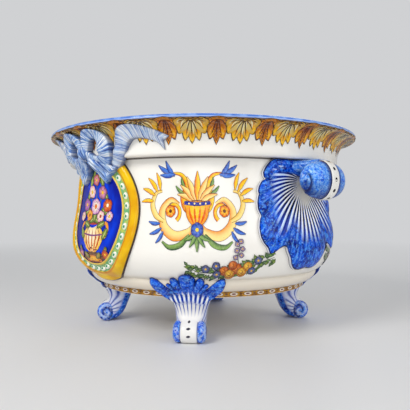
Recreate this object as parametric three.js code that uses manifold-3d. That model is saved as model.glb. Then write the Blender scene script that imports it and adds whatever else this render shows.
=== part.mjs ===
// A round glazed earthenware planter: a bellied pot under a flared collar, on four scroll feet.
// Shell handles stand at +X and -X, and oval medallions hung from ribbon bows at -Y and +Y.
// Millimetres, +Z up, origin on the ground under the middle of the pot.
import * as THREE from "three";
import { mergeVertices } from "three/addons/utils/BufferGeometryUtils.js";
import Module from "manifold-3d";

const wasm = await Module();
wasm.setup();

// Driving sizes of the pot body
const turnSegments = 60;
const wall = 8;
const seamGap = 0.3;
const undersideHeight = 45;
const bandRadius = 121;
const bandTopHeight = 51.5;
const ledgeRadius = 136;
const ledgeTopHeight = 64.6;
const bellyFootStep = 1.2;
const bellyRadius = 153.3;
const bellyHeight = 96;
const waistRadius = 147;
const waistHeight = 150;
const shoulderHeight = 182;
const floorThickness = 8;
const rootDepth = 4;

// Driving sizes of the collar
const collarOverhang = 12.6;
const collarFlange = 5.7;
const collarWall = 8.5;
const collarCoveHeight = 13;
const rimRadius = 180;
const rimHeight = 216.5;
const lipRadius = 2.6;

// Driving sizes of the handles
const handleAngles = { right: 0, left: 180 };
const shellCentreDrop = 25;
const shellReach = 84.6;
const shellEdge = 2.2;
const shellRelief = 6;
const fluteCount = 18;
const fluteDepth = 1.3;
const scrollStandOff = 24;
const scrollCentreDrop = 20.5;
const scrollHalfLength = 27;
const scrollHalfHeight = 19;
const scrollHalfDepth = 14.5;
const scrollRootHalfWidth = 27;
const scrollRootDrop = 13;
const strapHalfWidth = 5;
const strapRelief = 1;

// Driving sizes of the medallions
const medallionAngles = { front: -90, back: 90 };
const medallionHalfWidth = 62;
const medallionHalfHeight = 68;
const medallionCentreDrop = 55;
const medallionRelief = 3;
const medallionFrameWidth = 19;
const medallionFrameRelief = 2.4;

// Driving sizes of the feet
const footAngleFromHandle = 50;
const footRollRadius = 11.2;
const footRollOut = 0.5;
const footRollHalfWidth = 17;
const footFlatDepth = 0.3;
const footLegDepth = 31;
const footLegRoot = 3;
const footWaistHalfWidth = 15.5;
const palmetteReach = 35.5;
const palmetteTopOverLedge = 6.9;
const palmetteRelief = 4;

// Driving sizes of the bows
const ribbonThickness = 3.6;
const ribbonCrown = 1;
const knotRise = 1;
const knotHalfSize = { across: 13, up: 12, out: 10 };
const knotStandOff = 12.5;
const loopReach = 56;
const loopTopClearance = 13.5;
const loopStandOff = 18;
const loopWidth = 22;
const streamerReach = 103;
const streamerTopClearance = 13;
const streamerWidth = 12.5;
const streamerStandOff = 2.4;
const tailReach = 36;
const tailDrop = 25;
const tailWidth = 22;
const tailStandOff = 9;

const degrees = Math.PI / 180;

// Materials, by the glaze that covers the piece
const glaze = (color, roughness) => new THREE.MeshStandardMaterial({ color, roughness, metalness: 0 });
const whiteGlaze = glaze(0xeeebe2, 0.22);
const blueGlaze = glaze(0x2c57c8, 0.25);
const paleBlueGlaze = glaze(0x8fb0df, 0.28);
const yellowGlaze = glaze(0xe0a51c, 0.25);

// The solid of a closed geometry, with its shared vertices merged
function solidOf(geometry) {
  const bare = new THREE.BufferGeometry().setAttribute("position", geometry.getAttribute("position"));
  if (geometry.index) bare.setIndex(geometry.index);
  const merged = mergeVertices(bare, 1e-4);
  const triVerts = new Uint32Array(merged.index.array);
  const vertProperties = new Float32Array(merged.attributes.position.array);
  return new wasm.Manifold(new wasm.Mesh({ numProp: 3, vertProperties, triVerts }));
}

// The geometry of a solid
function geometryOf(solid) {
  const mesh = solid.getMesh();
  const stride = mesh.numProp;
  const positions = new Float32Array(mesh.numVert * 3);
  for (let i = 0; i < mesh.numVert; i++) {
    positions.set(mesh.vertProperties.subarray(i * stride, i * stride + 3), i * 3);
  }
  const geometry = new THREE.BufferGeometry();
  geometry.setAttribute("position", new THREE.BufferAttribute(positions, 3));
  geometry.setIndex(new THREE.BufferAttribute(new Uint32Array(mesh.triVerts), 1));
  return geometry;
}

// The largest body of a solid, where a cut leaves crumbs beside it
function largestBody(solid) {
  const bodies = solid.decompose();
  return bodies.reduce((best, body) => (body.volume() > best.volume() ? body : best));
}

// A solid through a stack of closed loops of equal count, with both ends capped
function loopSolid(loops) {
  const count = loops[0].length;
  const points = loops.flat();
  const faces = [];
  for (let row = 0; row + 1 < loops.length; row++) {
    for (let i = 0; i < count; i++) {
      const a = row * count + i;
      const b = row * count + ((i + 1) % count);
      faces.push([a, b, b + count], [a, b + count, a + count]);
    }
  }
  const cap = (row, flip) => {
    const middle = new THREE.Vector3();
    loops[row].forEach((p) => middle.addScaledVector(p, 1 / count));
    points.push(middle);
    for (let i = 0; i < count; i++) {
      const a = row * count + i;
      const b = row * count + ((i + 1) % count);
      faces.push(flip ? [b, a, points.length - 1] : [a, b, points.length - 1]);
    }
  };
  cap(0, true);
  cap(loops.length - 1, false);
  let volume = 0;
  faces.forEach(([a, b, c]) => (volume += points[a].dot(points[b].clone().cross(points[c]))));
  const order = volume < 0 ? faces.map(([a, b, c]) => [a, c, b]) : faces;
  const geometry = new THREE.BufferGeometry();
  const positions = new Float32Array(points.flatMap((p) => [p.x, p.y, p.z]));
  geometry.setAttribute("position", new THREE.BufferAttribute(positions, 3));
  geometry.setIndex(order.flat());
  return solidOf(geometry);
}

// Points of a curve from its start to its end, without the last one
const stretch = (curve, steps) => curve.getPoints(steps).slice(0, -1);
const at = (r, z) => new THREE.Vector2(r, z);
const bezier = (...points) => new THREE.CubicBezierCurve(...points);

// Outer profile of the pot, from the edge of its underside up to the shoulder
const shoulderRadius = waistRadius;
const ledgeCurve = bezier(
  at(bandRadius + 1, bandTopHeight),
  at(bandRadius + 9, bandTopHeight + 0.3),
  at(ledgeRadius, ledgeTopHeight - 7.6),
  at(ledgeRadius, ledgeTopHeight - 0.6),
);
const bellyLowerCurve = bezier(
  at(ledgeRadius + bellyFootStep, ledgeTopHeight),
  at(bellyRadius - 7.3, ledgeTopHeight + 5.9),
  at(bellyRadius, bellyHeight - 13),
  at(bellyRadius, bellyHeight),
);
const bellyUpperCurve = bezier(
  at(bellyRadius, bellyHeight),
  at(bellyRadius, bellyHeight + 20),
  at(waistRadius, waistHeight - 22),
  at(waistRadius, waistHeight),
);
const bodyOutline = [
  at(bandRadius - 1.5, undersideHeight),
  at(bandRadius, undersideHeight + 1.2),
  at(bandRadius, bandTopHeight - 0.4),
  ...stretch(ledgeCurve, 3),
  at(ledgeRadius, ledgeTopHeight - 0.6),
  ...stretch(bellyLowerCurve, 4),
  ...stretch(bellyUpperCurve, 3),
  at(waistRadius, waistHeight),
  at(shoulderRadius, shoulderHeight),
];

// Inner profile of the pot, from the shoulder down to the middle of the floor
const floorHeight = undersideHeight + floorThickness;
const innerShoulderRadius = shoulderRadius - wall;
const cavityLowerCurve = bezier(
  at(bellyRadius - wall, bellyHeight),
  at(bellyRadius - wall - 5.3, floorHeight + 11),
  at(bandRadius - 3, floorHeight),
  at(bandRadius - 17, floorHeight),
);
const cavityOutline = [
  at(innerShoulderRadius, shoulderHeight),
  at(waistRadius - wall, waistHeight),
  at((bellyRadius + waistRadius) / 2 - wall, (bellyHeight + waistHeight) / 2),
  ...stretch(cavityLowerCurve, 4),
  at(bandRadius - 17, floorHeight),
];

// A solid of revolution about Z from a profile that starts and ends on the axis or closes on itself
function turned(profile) {
  const lathe = new THREE.LatheGeometry(profile, turnSegments);
  lathe.rotateX(Math.PI / 2);
  const bare = new THREE.BufferGeometry().setAttribute("position", lathe.getAttribute("position"));
  bare.setIndex(lathe.index);
  return solidOf(bare);
}

const potBody = turned([at(0, undersideHeight), ...bodyOutline, ...cavityOutline, at(0, floorHeight)]);

// Collar: a flange on the shoulder, a short upright cove and a flare that ends in a rounded lip
const collarRadius = shoulderRadius + collarOverhang;
const collarBase = shoulderHeight + seamGap;
const lipCentre = at(rimRadius - lipRadius, rimHeight - lipRadius);
const flareCurve = bezier(
  at(collarRadius + 0.4, shoulderHeight + collarCoveHeight),
  at(collarRadius + 1.4, shoulderHeight + collarCoveHeight + 8),
  at(lipCentre.x - 9.4, lipCentre.y - 3.4),
  at(lipCentre.x - 1, lipCentre.y - lipRadius + 0.3),
);
const insideCurve = bezier(
  at(lipCentre.x - 2.4, lipCentre.y + lipRadius - 0.6),
  at(lipCentre.x - 11.4, lipCentre.y - 0.6),
  at(collarRadius - collarWall + 3, shoulderHeight + collarCoveHeight + 10),
  at(collarRadius - collarWall, shoulderHeight + collarCoveHeight),
);
const lipArc = [-60, 0, 50, 90].map((angle) => {
  const reach = at(lipRadius * Math.cos(angle * degrees), lipRadius * Math.sin(angle * degrees));
  return lipCentre.clone().add(reach);
});
const collarOutline = [
  at(collarRadius - 3.4, collarBase),
  at(collarRadius - 0.9, collarBase + 1.2),
  at(collarRadius, collarBase + 4.2),
  ...stretch(flareCurve, 4),
  ...lipArc,
];
const flangeTop = collarBase + collarFlange;
const collarProfile = [
  at(innerShoulderRadius, collarBase),
  ...collarOutline,
  ...stretch(insideCurve, 3),
  at(collarRadius - collarWall, flangeTop + 2.5),
  at(collarRadius - collarWall - 3.5, flangeTop),
  at(innerShoulderRadius + 1.5, flangeTop),
  at(innerShoulderRadius, flangeTop - 1.5),
  at(innerShoulderRadius, collarBase),
];
const flaredCollar = turned(collarProfile);

// The filled outside of pot and collar, grown by a clearance: applied pieces are cut back to it
function grownOutline(outline, gap) {
  return outline.map((point, i) => {
    const before = outline[Math.max(0, i - 1)];
    const after = outline[Math.min(outline.length - 1, i + 1)];
    const along = after.clone().sub(before).normalize();
    return at(point.x + along.y * gap, point.y - along.x * gap);
  });
}
const grownBody = grownOutline(bodyOutline, seamGap);
const grownCollar = grownOutline(collarOutline, seamGap);
const bodyEnvelope = turned([
  at(0, undersideHeight - seamGap),
  ...grownBody,
  at(0, shoulderHeight),
]);
const collarEnvelope = turned([
  at(0, shoulderHeight - 0.1),
  at(collarRadius - 3.4, shoulderHeight - 0.1),
  ...grownCollar,
  at(0, rimHeight + seamGap),
]);
const potEnvelope = bodyEnvelope.add(collarEnvelope);
const appliedTop = shoulderHeight - 0.1;

// Outer radius of the pot at a height, read from its outline
const wholeOutline = [...bodyOutline, ...collarOutline];
function outerRadius(z) {
  const i = wholeOutline.findIndex((point) => point.y >= z);
  if (i <= 0) return i < 0 ? rimRadius : wholeOutline[0].x;
  const [low, high] = [wholeOutline[i - 1], wholeOutline[i]];
  const share = (z - low.y) / Math.max(1e-6, high.y - low.y);
  return THREE.MathUtils.lerp(low.x, high.x, share);
}

// A point that is an arc length from an axis round the pot, at a height and a radius
function around(axisAngle, arc, height, radius, arcRadius) {
  const angle = axisAngle * degrees + arc / arcRadius;
  return new THREE.Vector3(radius * Math.cos(angle), radius * Math.sin(angle), height);
}

// The radius of a lobed outline at an angle, smooth through a list of [angle, radius]
function lobedRadius(table, angle) {
  const turn = Math.abs(THREE.MathUtils.euclideanModulo(angle + 180, 360) - 180);
  const i = Math.max(1, table.findIndex(([a]) => a >= turn));
  const [a0, r0] = table[i - 1];
  const [a1, r1] = table[i];
  const share = (turn - a0) / (a1 - a0);
  return THREE.MathUtils.lerp(r0, r1, share * share * (3 - 2 * share));
}

// Handle shell: a scallop of five lobes a side, fluted from a point under the scroll
const shellLobes = [
  [0, 1], [12, 0.95], [20, 0.83], [23, 0.77], [29, 0.86], [34, 0.94], [42, 0.9], [52, 0.8],
  [59, 0.69], [66, 0.7], [74, 0.66], [79, 0.61], [84, 0.64], [92, 0.59], [96.5, 0.53],
  [104, 0.58], [116, 0.55], [127, 0.48], [142, 0.37], [160, 0.31], [180, 0.29],
];
const shellCentreHeight = shoulderHeight - shellCentreDrop;
const shellRings = [0.2, 0.55, 0.88];
const shellSteps = fluteCount * 4;
const shellArcRadius = (bellyRadius + waistRadius) / 2;

function shellPoint(axisAngle, share, step, height) {
  const angle = (step / shellSteps) * 360;
  const reach = shellReach * lobedRadius(shellLobes, angle) * share;
  const arc = reach * Math.sin(angle * degrees);
  const z = Math.min(shellCentreHeight - reach * Math.cos(angle * degrees), appliedTop);
  return around(axisAngle, arc, z, outerRadius(z) + height, shellArcRadius);
}

function shellLoop(axisAngle, share, heightAt) {
  return Array.from({ length: shellSteps }, (_, step) => shellPoint(axisAngle, share, step, heightAt(step)));
}

function handleShell(axisAngle) {
  const flute = (step) => fluteDepth * Math.cos((step / shellSteps) * fluteCount * 2 * Math.PI);
  const crown = (share) => shellRelief * (0.45 + 0.55 * Math.sin(Math.PI * Math.min(1, share * 1.05)));
  const loops = [
    shellLoop(axisAngle, 0.5, () => -rootDepth),
    shellLoop(axisAngle, 1, () => -rootDepth),
    shellLoop(axisAngle, 1, () => shellEdge),
    ...[...shellRings].reverse().map((share) =>
      shellLoop(axisAngle, share, (step) => crown(share) + flute(step) * Math.sin(Math.PI * share)),
    ),
  ];
  return largestBody(loopSolid(loops).subtract(potEnvelope).subtract(scrollRaw(axisAngle, seamGap)));
}

// Handle scroll: an egg-shaped roll across the pot, held to the shoulder by a root that arches over it
const scrollRootFloor = shoulderHeight - scrollRootDrop;
const scrollCentreRadius = waistRadius + scrollStandOff;
const scrollCentreHeight = shoulderHeight - scrollCentreDrop;
const rollSteps = 16;
const archSteps = 4;

function rollSection(offset, grow) {
  const share = Math.sqrt(Math.max(0, 1 - (offset / (scrollHalfLength + grow)) ** 2));
  const swell = 0.35 + 0.65 * share;
  const points = [];
  for (let i = 0; i < rollSteps; i++) {
    const angle = (i / rollSteps) * 2 * Math.PI;
    const radius = scrollCentreRadius + (scrollHalfDepth * swell + grow) * Math.cos(angle);
    const z = scrollCentreHeight + (scrollHalfHeight * swell + grow) * Math.sin(angle);
    points.push(new THREE.Vector3(radius, offset, Math.min(z, appliedTop)));
  }
  return points;
}

function scrollRaw(axisAngle, grow) {
  const offsets = [-1, -0.93, -0.78, -0.5, 0, 0.5, 0.78, 0.93, 1];
  const roll = loopSolid(offsets.map((share) => rollSection(share * (scrollHalfLength + grow), grow)));
  const strapEdges = [-strapHalfWidth - grow, 0, strapHalfWidth + grow];
  const strap = loopSolid(strapEdges.map((offset) => rollSection(offset, strapRelief + grow)));
  const rootStart = waistRadius - rootDepth;
  const arch = [];
  for (let i = 0; i <= archSteps; i++) {
    const share = i / archSteps;
    const radius = THREE.MathUtils.lerp(rootStart, scrollCentreRadius, share);
    const halfWidth = THREE.MathUtils.lerp(scrollRootHalfWidth, scrollHalfLength * 0.62, share ** 0.7) + grow;
    const top = appliedTop + grow;
    const lowest = THREE.MathUtils.lerp(scrollRootFloor, scrollCentreHeight + scrollRootDrop / 2, share);
    const bottom = lowest - grow;
    const section = [[-1, 0.25], [-1, 0.6], [-0.7, 1], [0.7, 1], [1, 0.6], [1, 0.25], [0.7, 0], [-0.7, 0]];
    const height = (up) => THREE.MathUtils.lerp(bottom, top, up);
    arch.push(section.map(([across, up]) => new THREE.Vector3(radius, halfWidth * across, height(up))));
  }
  return roll.add(strap).add(loopSolid(arch)).rotate([0, 0, axisAngle]);
}

const handleScroll = (axisAngle) => largestBody(scrollRaw(axisAngle, 0).subtract(potEnvelope));

// Medallion: an oval plaque on the belly with a raised frame, its top tucked under the collar
const medallionSteps = 40;
const medallionArcRadius = bellyRadius;
const medallionCentreHeight = shoulderHeight - medallionCentreDrop;

function medallionLoop(axisAngle, inset, height, grow) {
  return Array.from({ length: medallionSteps }, (_, step) => {
    const angle = (step / medallionSteps) * 2 * Math.PI;
    const arc = (medallionHalfWidth - inset + grow) * Math.cos(angle);
    const free = medallionCentreHeight + (medallionHalfHeight - inset + grow) * Math.sin(angle);
    const z = Math.min(free, appliedTop);
    return around(axisAngle, arc, z, outerRadius(z) + height, medallionArcRadius);
  });
}

function medallionRaw(axisAngle, grow) {
  const frameTop = medallionRelief + medallionFrameRelief + grow;
  const field = medallionRelief + grow;
  return loopSolid([
    medallionLoop(axisAngle, 0, -rootDepth, grow),
    medallionLoop(axisAngle, 0, field * 0.8, grow),
    medallionLoop(axisAngle, medallionFrameWidth * 0.16, frameTop, 0),
    medallionLoop(axisAngle, medallionFrameWidth * 0.84, frameTop, 0),
    medallionLoop(axisAngle, medallionFrameWidth, field, 0),
    medallionLoop(axisAngle, medallionHalfWidth * 0.7, field, 0),
  ]);
}

// Foot: a palmette on the ledge runs down into a leg that curls out into a roll on the ground
const footRollCentreHeight = footRollRadius - footFlatDepth;
const footRollSteps = 14;
const footRollCentreRadius = bandRadius + footRollOut;
const palmetteLobes = [
  [0, 1], [9, 0.96], [16, 0.82], [22, 0.9], [30, 0.9], [36, 0.76], [43, 0.82], [52, 1.22],
  [59, 1.18], [68, 0.93], [82, 0.72], [105, 0.55], [140, 0.44], [180, 0.37],
];
const palmetteCentreHeight = ledgeTopHeight + palmetteTopOverLedge - palmetteReach;
const palmetteSteps = 38;
const palmetteArcRadius = ledgeRadius;

// How far the palmette's face stands from the axis at a height: it follows the ledge and leans out
function palmetteRadius(z) {
  const ahead = outerRadius(Math.min(z + palmetteRelief, ledgeTopHeight)) - palmetteRelief;
  const lean = THREE.MathUtils.smoothstep(z, undersideHeight - 17, ledgeTopHeight + palmetteTopOverLedge);
  return THREE.MathUtils.lerp(bandRadius, Math.max(outerRadius(z), ahead) + palmetteRelief, Math.sqrt(lean));
}

function palmetteLoop(share, height) {
  return Array.from({ length: palmetteSteps }, (_, step) => {
    const angle = (step / palmetteSteps) * 360;
    const reach = palmetteReach * lobedRadius(palmetteLobes, angle) * share;
    const arc = reach * Math.sin(angle * degrees);
    const z = palmetteCentreHeight + reach * Math.cos(angle * degrees);
    return around(0, arc, z, palmetteRadius(z) + height, palmetteArcRadius);
  });
}

// Leg sections as depth behind the band's edge, height as a share of the pot's clearance, and half width
function footLeg() {
  const section = (back, backUp, front, frontUp, half) => ({
    back: at(bandRadius - footLegDepth * back, undersideHeight * backUp),
    front: at(bandRadius - footLegDepth * front, undersideHeight * frontUp),
    half: footWaistHalfWidth * half,
  });
  const root = section(1.13, 1, -0.19, 1, 1.55);
  root.back.y += footLegRoot;
  root.front.y += footLegRoot;
  const sections = [
    root,
    section(1, 0.8, -0.1, 0.82, 1.19),
    section(0.89, 0.64, -0.03, 0.67, 1),
    section(0.77, 0.44, 0.03, 0.51, 1),
    section(0.63, 0.24, 0.06, 0.4, 1.03),
    section(0.4, 0.08, 0.03, 0.31, 1.06),
    section(0.08, 0, -0.08, 0.27, 1.06),
  ];
  const shape = [[0, 0.72], [0.12, 0.95], [0.5, 1], [0.88, 0.92], [1, 0.66]];
  const loops = sections.map(({ back, front, half }) => {
    const side = (sign) =>
      shape.map(([share, width]) => {
        const point = back.clone().lerp(front, share);
        return new THREE.Vector3(point.x, sign * width * half, point.y);
      });
    return [...side(-1), ...side(1).reverse()];
  });
  return loopSolid(loops);
}

function footRoll() {
  const ends = [[-1, 0.5], [-0.92, 0.84], [-0.75, 0.97], [0, 1], [0.75, 0.97], [0.92, 0.84], [1, 0.5]];
  const loops = ends.map(([offset, share]) =>
    Array.from({ length: footRollSteps }, (_, i) => {
      const angle = (i / footRollSteps) * 2 * Math.PI;
      const radius = footRollRadius * share;
      return new THREE.Vector3(
        footRollCentreRadius + radius * Math.cos(angle),
        offset * footRollHalfWidth,
        footRollCentreHeight + radius * Math.sin(angle),
      );
    }),
  );
  return loopSolid(loops);
}

function footSolid(axisAngle) {
  const palmette = loopSolid([
    palmetteLoop(1, -14),
    palmetteLoop(1, -1.4),
    palmetteLoop(0.86, 0.8),
    palmetteLoop(0.45, 0.6),
  ]);
  const raw = footLeg().add(footRoll()).add(palmette).rotate([0, 0, axisAngle]);
  const ground = new THREE.BoxGeometry(3 * rimRadius, 3 * rimRadius, 40).translate(0, 0, -20);
  return largestBody(raw.subtract(potEnvelope).subtract(solidOf(ground)));
}

// Bow: draped strips of clay, given as arc from the bow's middle, height and stand-off from the collar
const bowArcRadius = collarRadius;
const knotHeight = shoulderHeight + knotRise;
const drapeOutline = [
  at(waistRadius, 0), at(waistRadius, shoulderHeight - collarCoveHeight),
  at(collarRadius - collarOverhang / 4, shoulderHeight + knotRise),
  ...flareCurve.getPoints(4), at(rimRadius, 2 * rimHeight),
];
function drapeRadius(z) {
  const i = Math.max(1, drapeOutline.findIndex((point) => point.y >= z));
  const [low, high] = [drapeOutline[i - 1], drapeOutline[i]];
  return THREE.MathUtils.mapLinear(z, low.y, high.y, low.x, high.x);
}

// A strip through stations { at: [arc, height, stand-off], across: [arc, height, stand-off], width }
function ribbon(axisAngle, stations, steps, options = {}) {
  const { grow = 0, notch = 0 } = options;
  const middle = new THREE.CatmullRomCurve3(stations.map((s) => new THREE.Vector3(...s.at)));
  const across = new THREE.CatmullRomCurve3(stations.map((s) => new THREE.Vector3(...s.across).normalize()));
  const widths = new THREE.CatmullRomCurve3(stations.map((s) => new THREE.Vector3(s.width, 0, 0)));
  const lanes = [-1, 0, 1];
  const loops = [];
  for (let i = 0; i <= steps; i++) {
    const share = i / steps;
    const centre = middle.getPoint(share);
    const side = across.getPoint(share).normalize();
    const along = middle.getTangent(share);
    const out = new THREE.Vector3().crossVectors(side, along).normalize();
    const half = widths.getPoint(share).x / 2 + grow;
    const lanePoint = (lane, level) => {
      const crown = ribbonCrown * (1 - lane * lane);
      const point = centre.clone().addScaledVector(side, lane * half);
      point.addScaledVector(out, level * (ribbonThickness / 2 + grow) + crown);
      const atEnd = i === steps ? grow - notch * (1 - Math.abs(lane)) : 0;
      point.addScaledVector(along, i === 0 ? -grow : atEnd);
      return around(axisAngle, point.x, point.y, drapeRadius(point.y) + point.z, bowArcRadius);
    };
    loops.push([...lanes.map((lane) => lanePoint(lane, 1)), ...lanes.map((lane) => lanePoint(-lane, -1))]);
  }
  return loopSolid(loops);
}

function bowKnot(axisAngle, grow) {
  const ball = new THREE.SphereGeometry(1, 12, 8);
  ball.scale(knotHalfSize.out + grow, knotHalfSize.across + grow, knotHalfSize.up + grow);
  ball.translate(drapeRadius(knotHeight) + knotStandOff, 0, knotHeight);
  ball.rotateZ(axisAngle * degrees);
  return solidOf(ball);
}

function bowLoop(axisAngle, sign, grow) {
  const rise = (share) => THREE.MathUtils.lerp(knotHeight, rimHeight - loopTopClearance, share);
  const lean = [sign * -0.32, 1, 0];
  const station = (arc, up, out, width) => ({
    at: [sign * loopReach * arc, rise(up), loopStandOff * out],
    across: lean,
    width: loopWidth * width,
  });
  const stations = [
    station(0.14, 0.05, 0.78, 0.55), station(0.38, 0.4, 1.02, 0.85), station(0.7, 0.72, 1.05, 1),
    station(0.94, 0.82, 0.88, 0.98), station(1, 0.8, 0.62, 0.95), station(0.9, 0.74, 0.42, 0.9),
    station(0.6, 0.5, 0.36, 0.8), station(0.3, 0.2, 0.36, 0.65), station(0.12, 0.02, 0.4, 0.5),
  ];
  return ribbon(axisAngle, stations, 12, { grow });
}

function bowStreamer(axisAngle, sign, grow) {
  const rise = (share) => THREE.MathUtils.lerp(knotHeight, rimHeight - streamerTopClearance, share);
  const station = (arc, height, across, width, out = 1) => ({
    at: [sign * streamerReach * arc, rise(height), streamerStandOff * out],
    across: [sign * across[0], across[1], 0],
    width: streamerWidth * width,
  });
  const stations = [
    station(0.1, -0.15, [0.1, 1], 0.9), station(0.38, -0.05, [-0.45, 1], 1.25),
    station(0.54, 0.39, [-0.8, 0.8], 1.3), station(0.62, 0.88, [-0.55, 1], 1.15, 1.7),
    station(0.72, 1, [0.1, 1], 0.95, 1.3), station(0.86, 0.88, [0.1, 1], 0.85),
    station(1, 0.59, [0.35, 1], 1.25),
  ];
  return ribbon(axisAngle, stations, 12, { grow, notch: streamerWidth * 0.6 });
}

function bowTail(axisAngle, sign, grow) {
  const station = (arc, drop, width, out) => ({
    at: [sign * tailReach * arc, knotHeight - tailDrop * drop, tailStandOff * out],
    across: [1, sign * 0.5, 0],
    width: tailWidth * width,
  });
  const stations = [
    station(0.16, 0.25, 0.55, 1), station(0.4, 0.42, 0.8, 0.9),
    station(0.72, 0.72, 1, 0.94), station(1, 1, 1.15, 1.15),
  ];
  return ribbon(axisAngle, stations, 5, { grow, notch: tailWidth * 0.3 });
}

// The separate pieces of one bow, each cut back from those that lie over it
function bowPieces(axisAngle) {
  const knot = bowKnot(axisAngle, 0);
  const grownKnot = bowKnot(axisAngle, seamGap);
  const medallion = medallionRaw(axisAngle, seamGap);
  const pieces = { knot: knot.subtract(potEnvelope).subtract(medallion) };
  for (const [side, sign] of [["left", -1], ["right", 1]]) {
    const grownLoop = bowLoop(axisAngle, sign, seamGap);
    const grownTail = bowTail(axisAngle, sign, seamGap);
    pieces[`loop_${side}`] = bowLoop(axisAngle, sign, 0).subtract(grownKnot).subtract(potEnvelope);
    pieces[`tail_${side}`] = bowTail(axisAngle, sign, 0)
      .subtract(grownKnot).subtract(grownLoop).subtract(potEnvelope).subtract(medallion);
    pieces[`streamer_${side}`] = bowStreamer(axisAngle, sign, 0)
      .subtract(grownKnot).subtract(grownLoop).subtract(grownTail).subtract(potEnvelope).subtract(medallion);
  }
  return pieces;
}

// Assembly
const planter = new THREE.Group();
function addPiece(name, solid, material) {
  const mesh = new THREE.Mesh(geometryOf(solid), material);
  mesh.name = name;
  planter.add(mesh);
}

addPiece("pot_body", potBody, whiteGlaze);
addPiece("flared_collar", flaredCollar, whiteGlaze);

for (const [side, angle] of Object.entries(handleAngles)) {
  addPiece(`handle_shell_${side}`, handleShell(angle), blueGlaze);
  addPiece(`handle_scroll_${side}`, handleScroll(angle), blueGlaze);
}

for (const [face, angle] of Object.entries(medallionAngles)) {
  addPiece(`medallion_${face}`, largestBody(medallionRaw(angle, 0).subtract(potEnvelope)), yellowGlaze);
  for (const [piece, solid] of Object.entries(bowPieces(angle))) {
    addPiece(`bow_${face}_${piece}`, largestBody(solid), paleBlueGlaze);
  }
}

const feet = {
  front_right: -footAngleFromHandle,
  back_right: footAngleFromHandle,
  front_left: footAngleFromHandle - 180,
  back_left: 180 - footAngleFromHandle,
};
for (const [place, angle] of Object.entries(feet)) {
  addPiece(`foot_${place}`, footSolid(angle), blueGlaze);
}

export default planter;
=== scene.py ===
import math
import random

import bmesh
import bpy
import numpy as np
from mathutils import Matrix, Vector


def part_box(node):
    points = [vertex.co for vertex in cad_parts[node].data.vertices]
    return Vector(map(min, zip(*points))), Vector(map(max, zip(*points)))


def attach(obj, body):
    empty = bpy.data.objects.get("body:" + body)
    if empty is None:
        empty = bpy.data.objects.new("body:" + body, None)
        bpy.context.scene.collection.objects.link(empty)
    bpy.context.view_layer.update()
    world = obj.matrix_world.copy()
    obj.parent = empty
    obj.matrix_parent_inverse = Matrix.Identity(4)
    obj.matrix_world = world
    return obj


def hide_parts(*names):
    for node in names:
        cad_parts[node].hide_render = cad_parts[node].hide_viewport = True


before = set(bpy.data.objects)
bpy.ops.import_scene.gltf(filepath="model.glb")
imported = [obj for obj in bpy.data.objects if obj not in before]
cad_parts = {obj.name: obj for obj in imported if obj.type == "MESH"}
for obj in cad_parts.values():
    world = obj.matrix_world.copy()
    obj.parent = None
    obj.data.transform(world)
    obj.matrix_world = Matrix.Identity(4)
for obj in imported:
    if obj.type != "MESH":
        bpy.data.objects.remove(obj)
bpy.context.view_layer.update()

# Camera, lamps and table
# The pot stands on a plain pale table in a white room. The camera is level, at the height of the
# belly, and looks at the pot between its front medallion and its right handle.
photo_pixels = 410
focal_pixels = 480
camera_distance = 0.5956
camera_height = 0.1301
camera_turn = math.radians(46.7)
axis_left_of_centre = 1.56
horizon_below_centre = 7.25
sensor_width = 36
lamp_aim_height = 0.11


def rgb(red, green, blue):
    """A colour as it looks on screen, 0 to 255, as linear values."""
    channels = [value / 255 for value in (red, green, blue)]
    return tuple(c / 12.92 if c <= 0.04045 else ((c + 0.055) / 1.055) ** 2.4 for c in channels) + (1.0,)


camera = bpy.data.objects.new("camera", bpy.data.cameras.new("camera"))
camera.location = (
    camera_distance * math.sin(camera_turn),
    -camera_distance * math.cos(camera_turn),
    camera_height,
)
camera.rotation_euler = (math.pi / 2, 0, camera_turn)
camera.data.sensor_width = sensor_width
camera.data.lens = sensor_width * focal_pixels / photo_pixels
camera.data.shift_x = axis_left_of_centre / photo_pixels
camera.data.shift_y = horizon_below_centre / photo_pixels
camera.data.clip_start = 0.01
bpy.context.collection.objects.link(camera)
bpy.context.scene.camera = camera
bpy.context.scene.view_settings.view_transform = "Standard"


def lamp(name, turn, height, distance, size, power, tint=(1, 1, 1)):
    """A soft square lamp that faces the pot, its turn counted from the camera's."""
    light = bpy.data.lights.new(name, "AREA")
    light.size = size
    light.energy = power
    light.color = tint
    holder = bpy.data.objects.new(name, light)
    angle = camera_turn + math.radians(turn)
    holder.location = (distance * math.sin(angle), -distance * math.cos(angle), height)
    aim = Vector((0, 0, lamp_aim_height)) - holder.location
    holder.rotation_euler = aim.to_track_quat("-Z", "Y").to_euler()
    bpy.context.collection.objects.link(holder)


lamp("key_lamp", turn=-38, height=0.85, distance=1.1, size=0.5, power=9.2, tint=(1.0, 0.985, 0.96))
lamp("fill_lamp", turn=52, height=0.55, distance=1.2, size=0.7, power=3.6, tint=(0.97, 0.985, 1.0))
lamp("front_lamp", turn=6, height=0.14, distance=1.5, size=0.9, power=4.0)
lamp("back_lamp", turn=170, height=0.9, distance=1.3, size=0.9, power=4.0)


def link_all(tree, *pairs):
    """Links a tree's nodes by pairs of sockets, each from an output to an input."""
    for source, target in pairs:
        tree.links.new(source, target)


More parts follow.
